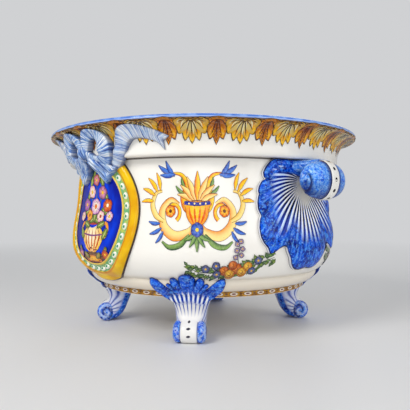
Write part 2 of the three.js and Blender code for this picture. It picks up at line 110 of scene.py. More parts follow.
# The room lights the glaze softly, and the camera sees its wall as a plain grey
backdrop_grey = rgb(208, 209, 211)
world = bpy.data.worlds.new("white_room")
bpy.context.scene.world = world
world.use_nodes = True
room = world.node_tree.nodes
room.clear()
room_output = room.new("ShaderNodeOutputWorld")
room_mix = room.new("ShaderNodeMixShader")
room_ray = room.new("ShaderNodeLightPath")
room_light = room.new("ShaderNodeBackground")
room_light.inputs["Color"].default_value = (0.95, 0.97, 1.0, 1)
room_light.inputs["Strength"].default_value = 0.42
room_seen = room.new("ShaderNodeBackground")
room_seen.inputs["Color"].default_value = backdrop_grey
room_seen.inputs["Strength"].default_value = 1.0
link_all(
    world.node_tree,
    (room_ray.outputs["Is Camera Ray"], room_mix.inputs["Fac"]),
    (room_light.outputs["Background"], room_mix.inputs[1]),
    (room_seen.outputs["Background"], room_mix.inputs[2]),
    (room_mix.outputs["Shader"], room_output.inputs["Surface"]),
)

# The table runs out into the backdrop's grey, so that no horizon shows
table_material = bpy.data.materials.new("pale_table")
table_material.use_nodes = True
table_nodes = table_material.node_tree.nodes
table_shader = table_nodes["Principled BSDF"]
table_shader.inputs["Base Color"].default_value = rgb(228, 228, 228)
table_shader.inputs["Roughness"].default_value = 0.55
table_place = table_nodes.new("ShaderNodeTexCoord")
table_reach = table_nodes.new("ShaderNodeVectorMath")
table_reach.operation = "LENGTH"
table_fade = table_nodes.new("ShaderNodeMapRange")
table_fade.interpolation_type = "SMOOTHSTEP"
table_fade.inputs["From Min"].default_value = 0.35
table_fade.inputs["From Max"].default_value = 1.8
table_ray = table_nodes.new("ShaderNodeLightPath")
table_share = table_nodes.new("ShaderNodeMath")
table_share.operation = "MULTIPLY"
table_far = table_nodes.new("ShaderNodeEmission")
table_far.inputs["Color"].default_value = backdrop_grey
table_mix = table_nodes.new("ShaderNodeMixShader")
link_all(
    table_material.node_tree,
    (table_place.outputs["Object"], table_reach.inputs[0]),
    (table_reach.outputs["Value"], table_fade.inputs["Value"]),
    (table_fade.outputs["Result"], table_share.inputs[0]),
    (table_ray.outputs["Is Camera Ray"], table_share.inputs[1]),
    (table_share.outputs["Value"], table_mix.inputs["Fac"]),
    (table_shader.outputs["BSDF"], table_mix.inputs[1]),
    (table_far.outputs["Emission"], table_mix.inputs[2]),
    (table_mix.outputs["Shader"], table_nodes["Material Output"].inputs["Surface"]),
)
table_half = 30
table_corners = [(x * table_half, y * table_half, 0) for x, y in ((-1, -1), (1, -1), (1, 1), (-1, 1))]
table_mesh = bpy.data.meshes.new("table")
table_mesh.from_pydata(table_corners, [], [(0, 1, 2, 3)])
table_mesh.materials.append(table_material)
table = bpy.data.objects.new("table", table_mesh)
bpy.context.collection.objects.link(table)


# Thrown pot and its collar
# One turned body of earthenware under a warm white tin glaze: floor, belly, shoulder and a flared
# collar that overhangs the shoulder. A blue line is painted on the lip and an ochre band at the base.
mm = 0.001
rim_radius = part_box("flared_collar")[1].x / mm
rim_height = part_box("flared_collar")[1].z / mm
underside_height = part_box("pot_body")[0].z / mm
shoulder_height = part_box("pot_body")[1].z / mm
belly_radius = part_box("pot_body")[1].x / mm
waist_radius = belly_radius - 6.3
band_radius = belly_radius - 32.3
ledge_radius = belly_radius - 17.3
collar_radius = waist_radius + 12.6
wall = 8.0
turn_steps = 240
band_top = underside_height + 6
ledge_height = underside_height + 19
belly_height = underside_height + 51
waist_height = shoulder_height - 32
lip_round = 2.6


def curve(*points, steps=12):
    """Points along a cubic curve, without its last point."""
    t = np.linspace(0, 1, steps + 1)[:-1, None]
    a, b, c, d = (np.array(p, float) for p in points)
    return a * (1 - t) ** 3 + 3 * b * t * (1 - t) ** 2 + 3 * c * t**2 * (1 - t) + d * t**3


def line(*points, steps=6):
    """Points along straight stretches, without the last point."""
    stretches = [np.linspace(a, b, steps + 1)[:-1] for a, b in zip(points, points[1:])]
    return np.concatenate(stretches)


lip = np.array((rim_radius - lip_round, rim_height - lip_round))
outside = np.concatenate([
    line((0, underside_height), (band_radius - 1.5, underside_height), steps=10),
    curve((band_radius - 1.5, underside_height), (band_radius - 0.4, underside_height),
          (band_radius, underside_height + 0.6), (band_radius, underside_height + 1.6), steps=4),
    line((band_radius, underside_height + 1.6), (band_radius, band_top), steps=4),
    curve((band_radius, band_top), (band_radius + 7, band_top + 0.4),
          (ledge_radius, ledge_height - 7), (ledge_radius, ledge_height), steps=14),
    curve((ledge_radius, ledge_height), (ledge_radius - 0.4, ledge_height + 0.6),
          (ledge_radius, ledge_height + 0.8), (ledge_radius + 1.2, ledge_height + 1.2), steps=4),
    curve((ledge_radius + 1.2, ledge_height + 1.2), (belly_radius - 7.3, ledge_height + 7),
          (belly_radius, belly_height - 13), (belly_radius, belly_height), steps=24),
    curve((belly_radius, belly_height), (belly_radius, belly_height + 20),
          (waist_radius, waist_height - 22), (waist_radius, waist_height), steps=26),
    line((waist_radius, waist_height), (waist_radius, shoulder_height - 1), steps=10),
    curve((waist_radius, shoulder_height - 1), (waist_radius + 0.2, shoulder_height + 0.4),
          (waist_radius + 4, shoulder_height + 0.3), (collar_radius - 3.4, shoulder_height + 0.3), steps=6),
    curve((collar_radius - 3.4, shoulder_height + 0.3), (collar_radius - 1, shoulder_height + 0.5),
          (collar_radius, shoulder_height + 2), (collar_radius, shoulder_height + 4.6), steps=6),
    line((collar_radius, shoulder_height + 4.6), (collar_radius + 0.3, shoulder_height + 12), steps=4),
    curve((collar_radius + 0.3, shoulder_height + 12), (collar_radius + 1.4, shoulder_height + 21),
          lip - (9.4, 3.4), lip - (1.2, 2.3), steps=26),
])
turned_lip = [lip + lip_round * np.array((math.cos(a), math.sin(a))) for a in np.radians(range(-75, 106, 20))]
inside = np.concatenate([
    curve(lip + (-2.2, 2.0), lip + (-11.4, -0.6),
          (collar_radius - 5.5, shoulder_height + 23), (collar_radius - 8.5, shoulder_height + 13), steps=16),
    curve((collar_radius - 8.5, shoulder_height + 13), (collar_radius - 9, shoulder_height + 8),
          (waist_radius - 5, shoulder_height + 6.4), (waist_radius - wall, shoulder_height + 4), steps=10),
    line((waist_radius - wall, shoulder_height + 4), (waist_radius - wall, waist_height), steps=6),
    curve((waist_radius - wall, waist_height), (waist_radius - wall, waist_height - 22),
          (belly_radius - wall, belly_height + 20), (belly_radius - wall, belly_height), steps=14),
    curve((belly_radius - wall, belly_height), (belly_radius - wall - 5.3, ledge_height),
          (band_radius - 3, underside_height + wall), (band_radius - 17, underside_height + wall), steps=14),
    line((band_radius - 17, underside_height + wall), (0, underside_height + wall), steps=8),
    [(0, underside_height + wall)],
])
profile = np.concatenate([outside, turned_lip, inside])
profile_run = np.concatenate([[0], np.cumsum(np.hypot(*np.diff(profile, axis=0).T))])

# The outer line is the part of the profile that everything else sits on, from the base band to the lip
outer_line = np.concatenate([outside, turned_lip[:5]])
outer_line = outer_line[outer_line[:, 0] > band_radius - 1]
outer_line = outer_line[np.concatenate([[True], np.diff(outer_line[:, 1]) > 1e-4])]
outer_run = np.concatenate([[0], np.cumsum(np.hypot(*np.diff(outer_line, axis=0).T))])
outer_start = profile_run[np.argmin(np.hypot(*(profile - outer_line[0]).T))]


def full_turn(steps):
    """Even angles round a full turn."""
    return np.linspace(0, 2 * math.pi, steps, endpoint=False)


def around(radius, angle, z):
    """Points round the pot's axis, by radius and height in millimetres, as scene points."""
    return np.stack(np.broadcast_arrays(radius * np.cos(angle), radius * np.sin(angle), z), axis=-1) * mm


def pot_radius(z):
    """Outer radius of the pot at a height, in millimetres."""
    return np.interp(z, outer_line[:, 1], outer_line[:, 0])


def round_pot(axis, arc, z, out, arc_radius=belly_radius):
    """Scene points on the pot, by arc length from an axis, height and stand-off in millimetres."""
    arc, z, out = np.broadcast_arrays(np.asarray(arc, float), np.asarray(z, float), np.asarray(out, float))
    return around(pot_radius(z) + out, math.radians(axis) + arc / arc_radius, z)


def piece_from(name, points, faces, colours=None, values=None):
    """A mesh object from points and faces, with a paint colour and named values on its points."""
    mesh = bpy.data.meshes.new(name)
    mesh.from_pydata(np.asarray(points).reshape(-1, 3).tolist(), [], [list(map(int, f)) for f in faces])
    if colours is not None:
        paint = mesh.color_attributes.new("paint", "FLOAT_COLOR", "POINT")
        paint.data.foreach_set("color", np.asarray(colours, float).ravel())
    for key, value in (values or {}).items():
        mesh.attributes.new(key, "FLOAT", "POINT").data.foreach_set("value", np.asarray(value, float).ravel())
    mesh.shade_smooth()
    piece = bpy.data.objects.new(name, mesh)
    bpy.context.collection.objects.link(piece)
    return piece


def grid_faces(rows, columns, closed, first=0):
    """Quads over a grid of points, joined round where its columns close."""
    across = columns if closed else columns - 1
    r, c = np.meshgrid(np.arange(rows - 1), np.arange(across), indexing="ij")
    a = first + r * columns + c
    b = first + r * columns + (c + 1) % columns
    return np.stack([a, b, b + columns, a + columns], axis=-1).reshape(-1, 4)


seam_gap, sliver_length = 1e-6, 1e-8


def merge_seams(piece):
    """Closes the poles and seams of a piece and turns its faces outwards."""
    work = bmesh.new()
    work.from_mesh(piece.data)
    bmesh.ops.remove_doubles(work, verts=work.verts, dist=seam_gap)
    bmesh.ops.dissolve_degenerate(work, edges=work.edges, dist=sliver_length)
    bmesh.ops.recalc_face_normals(work, faces=work.faces)
    work.to_mesh(piece.data)
    work.free()


def closed_skin(points, values, first=None, last=None):
    """A grid of rings, closed at both ends by a middle point, with its faces and values."""
    ends = []
    for ring, middle in ((points[:1], first), (points[-1:], last)):
        spot = ring.mean(axis=1, keepdims=True) if middle is None else np.reshape(middle, (1, 1, 3))
        ends.append(np.broadcast_to(spot, ring.shape))
    values = {key: np.concatenate([v[:1], v, v[-1:]]) for key, v in values.items()}
    points = np.concatenate([ends[0], points, ends[1]])
    return points, grid_faces(*points.shape[:2], closed=True), values


def settle(piece, material, slot, *nodes):
    """Gives a piece its material, hangs it under the pot's root, and hides the solids of the pot it stands in
    for.
    """
    if material:
        piece.data.materials.clear()
        piece.data.materials.append(material)
    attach(piece, "root")
    if nodes:
        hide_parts(*nodes)


class Wire:
    """A value on its way through a material's nodes, which can be reckoned with like a number."""

    def __init__(self, tree, socket):
        self.tree = tree
        self.socket = socket

    def reckon(self, operation, *others):
        """The outcome of one sum, by its node's name for it, with this value first."""
        node = self.tree.nodes.new("ShaderNodeMath")
        node.operation = operation
        for place, value in enumerate((self, *others)):
            if isinstance(value, Wire):
                self.tree.links.new(value.socket, node.inputs[place])
            else:
                node.inputs[place].default_value = value
        return Wire(self.tree, node.outputs[0])

    def __add__(self, other):
        return self.reckon("ADD", other)

    def __sub__(self, other):
        return self.reckon("SUBTRACT", other)

    def __mul__(self, other):
        return self.reckon("MULTIPLY", other)

    def beat(self, times=1):
        """Goes from 1 to -1 and back a number of times while the value rises by 1."""
        return self.reckon("MULTIPLY", times * 2 * math.pi).reckon("COSINE")

    def step(self, low, high):
        """Rises smoothly from 0 at low to 1 at high."""
        node = self.tree.nodes.new("ShaderNodeMapRange")
        node.interpolation_type = "SMOOTHSTEP"
        self.tree.links.new(self.socket, node.inputs["Value"])
        node.inputs["From Min"].default_value = low
        node.inputs["From Max"].default_value = high
        return Wire(self.tree, node.outputs["Result"])

    def within(self, low, high, soft):
        """1 between low and high, with soft edges."""
        return self.step(low - soft, low + soft) * self.step(high + soft, high - soft)


def value_on(tree, name):
    """A named value that the mesh carries."""
    node = tree.nodes.new("ShaderNodeAttribute")
    node.attribute_name = name
    return Wire(tree, node.outputs["Fac"])


def paint_on(tree):
    """The paint colour that the mesh carries."""
    node = tree.nodes.new("ShaderNodeAttribute")
    node.attribute_name = "paint"
    return node.outputs["Color"]


def noise_on(tree, size, detail=3.0, roughness=0.55, stretch=(1, 1, 1), distortion=0.0):
    """Noise in the piece's own space, by the size of its patches in millimetres."""
    place = tree.nodes.new("ShaderNodeTexCoord")
    scale = tree.nodes.new("ShaderNodeMapping")
    scale.inputs["Scale"].default_value = [s / (size * mm) for s in stretch]
    noise = tree.nodes.new("ShaderNodeTexNoise")
    noise.inputs["Scale"].default_value = 1.0
    noise.inputs["Detail"].default_value = detail
    noise.inputs["Roughness"].default_value = roughness
    noise.inputs["Distortion"].default_value = distortion
    link_all(
        tree,
        (place.outputs["Object"], scale.inputs["Vector"]),
        (scale.outputs["Vector"], noise.inputs["Vector"]),
    )
    return Wire(tree, noise.outputs["Fac"])


def blend_colour(tree, under, over, share):
    """One colour laid over another by a share from 0 to 1."""
    mix = tree.nodes.new("ShaderNodeMix")
    mix.data_type = "RGBA"
    for place, value in (("Factor_Float", share), ("A_Color", under), ("B_Color", over)):
        socket = next(s for s in mix.inputs if s.identifier == place)
        if isinstance(value, Wire):
            tree.links.new(value.socket, socket)
        elif isinstance(value, bpy.types.NodeSocket):
            tree.links.new(value, socket)
        else:
            socket.default_value = value
    return next(s for s in mix.outputs if s.identifier == "Result_Color")


def coats(tree, colour, *layers):
    """Colours laid over one another in turn, each a colour with its share."""
    for over, share in layers:
        colour = blend_colour(tree, colour, over, share)
    return colour


def group_socket(tree, name, kind="Float", way="INPUT"):
    """A named input or output of a node group."""
    return tree.interface.new_socket(name, in_out=way, socket_type=f"NodeSocket{kind}")


def glaze_surface():
    """A node group for fired glaze: its small unevenness, as roughness and as a bumped normal."""
    group = bpy.data.node_groups.new("fired_glaze", "ShaderNodeTree")
    for name in ("Roughness", "Unevenness", "Height"):
        group_socket(group, name)
    group_socket(group, "Roughness", way="OUTPUT")
    group_socket(group, "Normal", "Vector", way="OUTPUT")
    entry = group.nodes.new("NodeGroupInput")
    leave = group.nodes.new("NodeGroupOutput")
    ripple = noise_on(group, 16, detail=2)
    speck = noise_on(group, 1.6, detail=2)
    spread = Wire(group, entry.outputs["Unevenness"])
    rough = Wire(group, entry.outputs["Roughness"]) + (ripple - 0.5) * spread
    height = (ripple * 0.8 + speck * 0.05) * spread + Wire(group, entry.outputs["Height"])
    bump = group.nodes.new("ShaderNodeBump")
    bump.inputs["Strength"].default_value = 1.0
    bump.inputs["Distance"].default_value = 1.0 * mm
    link_all(
        group,
        (height.socket, bump.inputs["Height"]),
        (rough.socket, leave.inputs["Roughness"]),
        (bump.outputs["Normal"], leave.inputs["Normal"]),
    )
    return group


fired_glaze = glaze_surface()
coat_share = 0.4


def glazed_material(name, colour_of, roughness, unevenness, relief_of=None, shine=0.36):
    """A glossy glazed material whose colour comes from a function of its node tree."""
    material = bpy.data.materials.new(name)
    material.use_nodes = True
    tree = material.node_tree
    shader = tree.nodes["Principled BSDF"]
    shader.inputs["IOR"].default_value = 1.5
    shader.inputs["Specular IOR Level"].default_value = shine
    shader.inputs["Coat Weight"].default_value = shine * coat_share
    shader.inputs["Coat Roughness"].default_value = 0.06
    surface = tree.nodes.new("ShaderNodeGroup")
    surface.node_tree = fired_glaze
    surface.inputs["Roughness"].default_value = roughness
    surface.inputs["Unevenness"].default_value = unevenness
    if relief_of:
        tree.links.new(relief_of(tree).socket, surface.inputs["Height"])
    link_all(
        tree,
        (colour_of(tree), shader.inputs["Base Color"]),
        (surface.outputs["Roughness"], shader.inputs["Roughness"]),
        (surface.outputs["Normal"], shader.inputs["Normal"]),
    )
    return material


def outer_run_at(z):
    """Distance along the pot's outside, from its base edge up to a height."""
    return np.interp(z, outer_line[:, 1], outer_run)


def base_run(up):
    """Distance along the whole profile, at a height above the underside."""
    return outer_start + outer_run_at(underside_height + up)


def shoulder_run(up):
    """Distance along the whole profile, at a height above the shoulder."""
    return outer_start + outer_run_at(shoulder_height + up)


lip_run = outer_start + outer_run_at(rim_height - 3.3)


def tin_glaze_colour(tree):
    """Warm white, painted shade at the lower belly, ledge and collar crease, and the painted base band and
    lip.
    """
    run = value_on(tree, "run")
    ochre = blend_colour(tree, rgb(204, 146, 26), rgb(150, 96, 16), noise_on(tree, 3.5).step(0.42, 0.62))
    behind_leaves = blend_colour(tree, rgb(164, 116, 34), rgb(92, 56, 20), noise_on(tree, 3).step(0.4, 0.62))
    brushed = noise_on(tree, 9, detail=2).step(0.4, 0.65)
    lip_stroke = blend_colour(tree, rgb(72, 118, 206), rgb(124, 162, 228), brushed)
    lip_blue = blend_colour(tree, rgb(160, 184, 236), lip_stroke, run.step(lip_run + 0.6, lip_run + 1.4))
    return coats(
        tree, rgb(243, 240, 233),
        (rgb(232, 226, 214), noise_on(tree, 45).step(0.45, 0.8) * 0.5),
        # Painted shade: warmer and darker low on the belly, and a soft shadow line along the ledge
        (rgb(232, 212, 180), run.step(base_run(26), base_run(12)) * 0.5),
        (rgb(196, 182, 160), run.within(base_run(18), base_run(22), 2.5) * 0.35),
        # Painted shade: a dark line in the crease under the collar's overhang
        (rgb(84, 76, 70), run.within(shoulder_run(-0.9), shoulder_run(0.2), 0.35)),
        (ochre, run.within(base_run(0.7), base_run(6.3), 0.3)),
        (rgb(92, 60, 20), run.within(base_run(6.0), base_run(6.5), 0.25)),
        (behind_leaves, run.within(lip_run - 3.4, lip_run - 0.1, 0.25)),
        (lip_blue, run.within(lip_run - 0.2, lip_run + 6.4, 0.3)),
        (rgb(52, 46, 66), run.within(lip_run - 0.5, lip_run + 0.3, 0.2) * 0.75),
        (rgb(28, 40, 104), run.within(lip_run + 6.2, lip_run + 7.0, 0.25)),
    )


tin_glaze = glazed_material("tin_glaze", tin_glaze_colour, roughness=0.13, unevenness=0.1)

pot = piece_from(
    "glazed_pot", around(profile[:, :1], full_turn(turn_steps), profile[:, 1:]),
    grid_faces(len(profile), turn_steps, closed=True),
    values={"run": np.repeat(profile_run[:, None], turn_steps, axis=1)},
)
merge_seams(pot)
settle(pot, tin_glaze, "white_glaze", "pot_body", "flared_collar")


# Leaf border under the lip
# A ring of brushed leaves hangs from the lip over the white flare: cream and ochre lobed leaves in
# front of red-brown ones, outlined and veined in dark brown, as a painter repeats them on the wheel.
leaf_pairs = 23
leaf_arc_radius = rim_radius - 10


def profile_place(axis, arc_radius):
    """Places painted points by arc and by distance along the pot's outside, lifted off the glaze."""
    flow = np.gradient(outer_line, outer_run, axis=0)
    flow /= np.hypot(*flow.T)[:, None]

    def place(arc, run, lift):
        arc, run = np.asarray(arc, float), np.asarray(run, float)
        radius = np.interp(run, outer_run, outer_line[:, 0]) + np.interp(run, outer_run, flow[:, 1]) * lift
        z = np.interp(run, outer_run, outer_line[:, 1]) - np.interp(run, outer_run, flow[:, 0]) * lift
        return around(radius, math.radians(axis) + arc / arc_radius, z)

    return place


class Brushwork:
    """Painted leaves and strokes, gathered as thin skins that lie on the glaze in layers."""

    def __init__(self, place, lift=0.12, layer=0.02):
        self.place = place
        self.lift = lift
        self.layer = layer
        self.points = []
        self.colours = []
        self.faces = []

    def skin(self, across, along, colours, closed=False):
        """Adds one layer from a grid of places and its colours."""
        rows, columns = across.shape
        first = sum(len(p) for p in self.points)
        self.points.append(self.place(across, along, self.lift).reshape(-1, 3))
        self.colours.append(np.asarray(colours, float).reshape(-1, 4))
        self.faces.extend(grid_faces(rows, columns, closed, first).tolist())
        self.lift += self.layer

    def patch(self, outline, middle, inner, outer, edge=None, edge_width=0.4, rings=3):
        """A shape filled from its middle colour to its outer colour, over a darker edge."""
        outline = np.asarray(outline, float)
        middle = np.asarray(middle, float)
        if edge:
            reach = outline - middle
            grown = middle + reach * (1 + edge_width / np.maximum(np.hypot(*reach.T), 0.5))[:, None]
            self.patch(grown, middle, edge, edge, rings=rings)
        share = np.linspace(0, 1, rings + 1)[:, None]
        across = middle[0] + share * (outline[:, 0] - middle[0])
        along = middle[1] + share * (outline[:, 1] - middle[1])
        tone = (share**1.5)[..., None]
        colours = np.array(inner) * (1 - tone) + np.array(outer) * tone
        self.skin(across, along, np.broadcast_to(colours, (*across.shape, 4)), closed=True)

    def stroke(self, path, width, colour, tip=None, taper=(0.25, 0.0), edge=None, steps=14):
        """A brush stroke through points, thick in its middle and thin at its ends."""
        path = smooth_path(path, steps)
        t = np.linspace(0, 1, len(path))
        half = width / 2 * np.interp(t, (0, 0.35, 0.7, 1), (taper[0], 1, 0.85, taper[1]))
        lanes = np.array([-1, 0, 1])
        if edge:
            self.strip(path, half + 0.35, lanes, edge)
        tone = t[:, None, None]
        self.strip(path, half + 0.05, lanes, np.array(colour) * (1 - tone) + np.array(tip or colour) * tone)

    def strip(self, path, half, lanes, colours):
        """Adds a flat band along a path, by its half width at each point and its lanes across."""
        side = sideways(path)
        across, along = (path[:, i:i + 1] + side[:, i:i + 1] * half[:, None] * lanes for i in (0, 1))
        self.skin(across, along, np.broadcast_to(colours, (*across.shape, 4)))

    def piece(self, name):
        """All layers as one object."""
        return piece_from(name, np.concatenate(self.points), self.faces, np.concatenate(self.colours))


def sideways(path):
    """The way across a path at each of its points."""
    flow = np.gradient(path, axis=0)
    flow /= np.maximum(np.hypot(*flow.T), 1e-6)[:, None]
    return np.stack([-flow[:, 1], flow[:, 0]], axis=-1)


def eased(a, b, c, d, u):
    """A smooth course from b to c, led by what comes before and after them."""
    return 0.5 * (2 * b + (c - a) * u + (2 * a - 5 * b + 4 * c - d) * u**2 + (3 * b - a - 3 * c + d) * u**3)


def smooth_path(points, steps):
    """An even smooth path through a few points."""
    points = np.asarray(points, float)
    reach = np.concatenate([[0], np.cumsum(np.linalg.norm(np.diff(points, axis=0), axis=1))])
    if len(points) == 2:
        return points[0] + np.linspace(0, 1, steps + 1)[:, None] * (points[1] - points[0])
    padded = np.concatenate([[2 * points[0] - points[1]], points, [2 * points[-1] - points[-2]]])
    path = []
    for t in np.linspace(0, reach[-1], steps + 1):
        i = min(np.searchsorted(reach, t, side="right") - 1, len(points) - 2)
        u = (t - reach[i]) / (reach[i + 1] - reach[i])
        path.append(eased(*padded[i:i + 4], u))
    return np.array(path)


def brushed_colour(tree):
    """The mesh's paint colour, laid on unevenly as a brush leaves it."""
    return coats(
        tree, paint_on(tree),
        (rgb(250, 240, 214), noise_on(tree, 2.2).step(0.4, 0.8) * 0.14),
        (rgb(96, 52, 14), noise_on(tree, 4.5, detail=2).step(0.55, 0.8) * 0.1),
    )


brushed_paint = glazed_material("brushed_paint", brushed_colour, roughness=0.14, unevenness=0.08, shine=0.2)

leaf_top = outer_run_at(rim_height - 3.35)
leaf_length = leaf_top - outer_run_at(shoulder_height + 10.2)
leaf_drawn_length = 27
umber = rgb(52, 30, 16)


def down(*points):
    """Points given across and down from the lip, for the outline and the veins of a leaf."""
    return [(x, leaf_top - y * leaf_length / leaf_drawn_length) for x, y in points]


def hanging(half_outline, centre):
    """A leaf's outline from its right half: across from its middle, and down from the lip."""
    half = np.array(half_outline, float)
    even = np.linspace(0, len(half) - 1, 3 * len(half) - 2)
    half = np.stack([np.interp(even, np.arange(len(half)), column) for column in half.T], axis=-1)
    whole = np.concatenate([half, (half * (-1, 1))[-2:0:-1]])
    return np.array(down(*whole)) + (centre, 0)


border = Brushwork(profile_place(0, leaf_arc_radius), lift=0.3, layer=0.012)
half_pitch = math.pi * leaf_arc_radius / leaf_pairs
brown_leaf = [
    (0, 27.4), (1.8, 24.4), (3.2, 21.2), (5.2, 22.8), (6.8, 23), (8.2, 19.6), (8.8, 16.6), (10.8, 15.6),
    (11.6, 12), (11.4, 6), (9, 2), (5, 0.4), (0, 0),
]
brown_heart = (half_pitch, down((0, 8))[0][1])
border.patch(hanging(brown_leaf, half_pitch), brown_heart, rgb(150, 70, 12), rgb(226, 138, 4), umber,
             edge_width=0.75, rings=7)
for x, y, width in ((0, 26.4, 5.0), (5.8, 22, 4.2), (-5.8, 22, 4.2), (9.4, 14.6, 3.4), (-9.4, 14.6, 3.4)):
    path = down((x * 0.6, y - 9), (x * 0.9, y - 4), (x, y))
    border.stroke([(a + half_pitch, b) for a, b in path], width, rgb(224, 128, 2), rgb(255, 204, 20))
for x, y in ((0, 23), (4.8, 20), (-4.8, 20), (8.6, 13.5), (-8.6, 13.5)):
    path = down((x * 0.1, 3), (x * 0.55, y - 7), (x, y))
    border.stroke([(a + half_pitch, b) for a, b in path], 1.2, rgb(84, 30, 12), taper=(1, 0.1))
olive_leaf = [
    (0, 26.6), (1.8, 24), (3.3, 21), (5.4, 23.4), (7, 24.2), (8.4, 21.4), (9, 18), (11.4, 18.8), (13, 18.2),
    (14.2, 14.8), (14, 11.8), (15.4, 9.8), (15.6, 6), (14.2, 2.8), (11, 0.8), (7.4, 0.4), (4.4, 2), (2, 1.2),
    (0, 2.4),
]
border.patch(hanging(olive_leaf, 0), down((0, 11))[0], rgb(230, 208, 128), rgb(212, 156, 12), umber,
             edge_width=0.75, rings=7)
for x in (-9.5, -3.2, 3.2, 9.5):
    path = down((x * 0.6, 1.6), (x, 6.5), (x * 0.9, 12))
    border.stroke(path, 2.6, rgb(160, 104, 34), rgb(206, 150, 50), taper=(0.7, 0.1))
tips = [((0, 25.8), 5.2), ((6.6, 23), 4.6), ((-6.6, 23), 4.6), ((12.4, 17), 4.0), ((-12.4, 17), 4.0)]
for (x, y), width in tips:
    path = down((x * 0.62, y - 8), (x * 0.9, y - 4), (x, y))
    border.stroke(path, width, rgb(234, 146, 8), rgb(255, 206, 24))
for x, y in ((4.2, 17), (-4.2, 17), (9.8, 13.5), (-9.8, 13.5), (1.4, 19), (-12.6, 9)):
    path = down((x * 0.5, max(1.5, y - 11)), (x * 0.85, y - 5), (x, y))
    border.stroke(path, 1.3, rgb(244, 232, 180), taper=(0.4, 0.1))
for x, y in ((0, 22.5), (5.6, 20.5), (-5.6, 20.5), (10.8, 15), (-10.8, 15), (12.6, 7), (-12.6, 7)):
    path = down((x * 0.08, 5 - abs(x) * 0.12), (x * 0.6, y * 0.62), (x, y))
    border.stroke(path, 0.95, rgb(62, 34, 10), taper=(1, 0.1))


def freeze(piece):
    """Turns a piece with its modifiers into a plain mesh."""
    solid = bpy.data.meshes.new_from_object(piece.evaluated_get(bpy.context.evaluated_depsgraph_get()))
    piece.modifiers.clear()
    piece.data = solid
    return piece


def ring_of_copies(piece, copies, material):
    """Repeats a piece round the pot's axis and leaves it as one plain mesh."""
    tree = bpy.data.node_groups.new("ring_of_copies", "GeometryNodeTree")
    group_socket(tree, "Motif", "Geometry")
    count = group_socket(tree, "Copies", "Int")
    finish = group_socket(tree, "Finish", "Material")
    group_socket(tree, "Ring", "Geometry", way="OUTPUT")
    entry, leave = tree.nodes.new("NodeGroupInput"), tree.nodes.new("NodeGroupOutput")
    stand = tree.nodes.new("GeometryNodeMeshLine")
    stand.inputs["Offset"].default_value = (0, 0, 0)
    index = Wire(tree, tree.nodes.new("GeometryNodeInputIndex").outputs["Index"])
    turn = tree.nodes.new("ShaderNodeCombineXYZ")
    copy = tree.nodes.new("GeometryNodeInstanceOnPoints")
    real = tree.nodes.new("GeometryNodeRealizeInstances")
    dress = tree.nodes.new("GeometryNodeSetMaterial")
    each = index.reckon("DIVIDE", Wire(tree, entry.outputs["Copies"])) * (2 * math.pi)
    link_all(
        tree,
        (entry.outputs["Copies"], stand.inputs["Count"]),
        (each.socket, turn.inputs["Z"]),
        (stand.outputs["Mesh"], copy.inputs["Points"]),
        (entry.outputs["Motif"], copy.inputs["Instance"]),
        (turn.outputs["Vector"], copy.inputs["Rotation"]),
        (copy.outputs["Instances"], real.inputs["Geometry"]),
        (real.outputs["Geometry"], dress.inputs["Geometry"]),
        (entry.outputs["Finish"], dress.inputs["Material"]),
        (dress.outputs["Geometry"], leave.inputs["Ring"]),
    )
    modifier = piece.modifiers.new("ring", "NODES")
    modifier.node_group = tree
    modifier[count.identifier] = copies
    modifier[finish.identifier] = material
    return freeze(piece)


leaf_border = ring_of_copies(border.piece("leaf_border"), leaf_pairs, brushed_paint)
settle(leaf_border, None, "yellow_glaze")


# Rosettes on the base band
# Small white flowers with a dark heart, painted at even steps along the ochre band, with a brown
# dab between each pair.
rosette_count = 50
rosettes = Brushwork(profile_place(0, band_radius))
rosette_run = outer_run_at(underside_height + 3.5)


def circle(steps):
    """Points round a circle of radius one."""
    return np.stack([np.cos(full_turn(steps)), np.sin(full_turn(steps))], axis=-1)


dot = circle(14)
heart_at, dab_at = (0, rosette_run), (7.5, rosette_run)
rosettes.patch(dot * (4.2, 1.75) + heart_at, heart_at, rgb(240, 228, 214), rgb(236, 220, 196), umber)
rosettes.patch(dot * (2.3, 0.75) + heart_at, heart_at, rgb(92, 30, 52), rgb(120, 60, 60))
rosettes.patch(dot * (1.7, 1.2) + dab_at, dab_at, rgb(90, 58, 18), rgb(150, 96, 26))
for ends, middle in ((-1.6, -2.2), (1.6, 2.1)):
    bow = [(4.6, rosette_run + ends), (7.5, rosette_run + middle), (10.4, rosette_run + ends)]
    rosettes.stroke(bow, 0.6, rgb(90, 58, 18))
rosette_ring = ring_of_copies(rosettes.piece("band_rosettes"), rosette_count, brushed_paint)
settle(rosette_ring, None, "yellow_glaze")


# Shells under the handles
# A moulded scallop luted to the shoulder on each side, its flutes fanning out and down from under
# the handle's roll, with a scrolled arm along its top. White glaze, sponged with cobalt blue.
shell_middle = shoulder_height - 25
shell_arc_radius = (belly_radius + waist_radius) / 2
flute_pitch = 6.6
shell_half_outline = [
    (0, 74), (8.4, 72.4), (15, 73), (20, 75.6), (23.8, 79.4), (26.9, 85.6), (30.9, 91.7), (32.8, 96.6),
    (36.4, 97.7), (41.4, 95.5), (46.6, 92), (51.4, 90.6), (53.8, 96.4), (57.8, 101), (60.7, 107), (61.6, 115),
    (60.5, 123), (58.6, 126.6), (61.5, 133), (61.8, 139), (61, 144.5), (60, 147.4), (61, 150), (60, 155),
    (56.8, 160), (52.4, 162), (54.6, 163.6), (55.7, 168), (52.5, 174), (48, 179), (42, 182),
]


def turned_to(axis, points):
    """Points given out, across and up from an axis of the pot, in millimetres, as scene points."""
    out, across, up = np.moveaxis(np.asarray(points, float), -1, 0)
    cosine, sine = math.cos(math.radians(axis)), math.sin(math.radians(axis))
    return np.stack([out * cosine - across * sine, out * sine + across * cosine, up], axis=-1) * mm


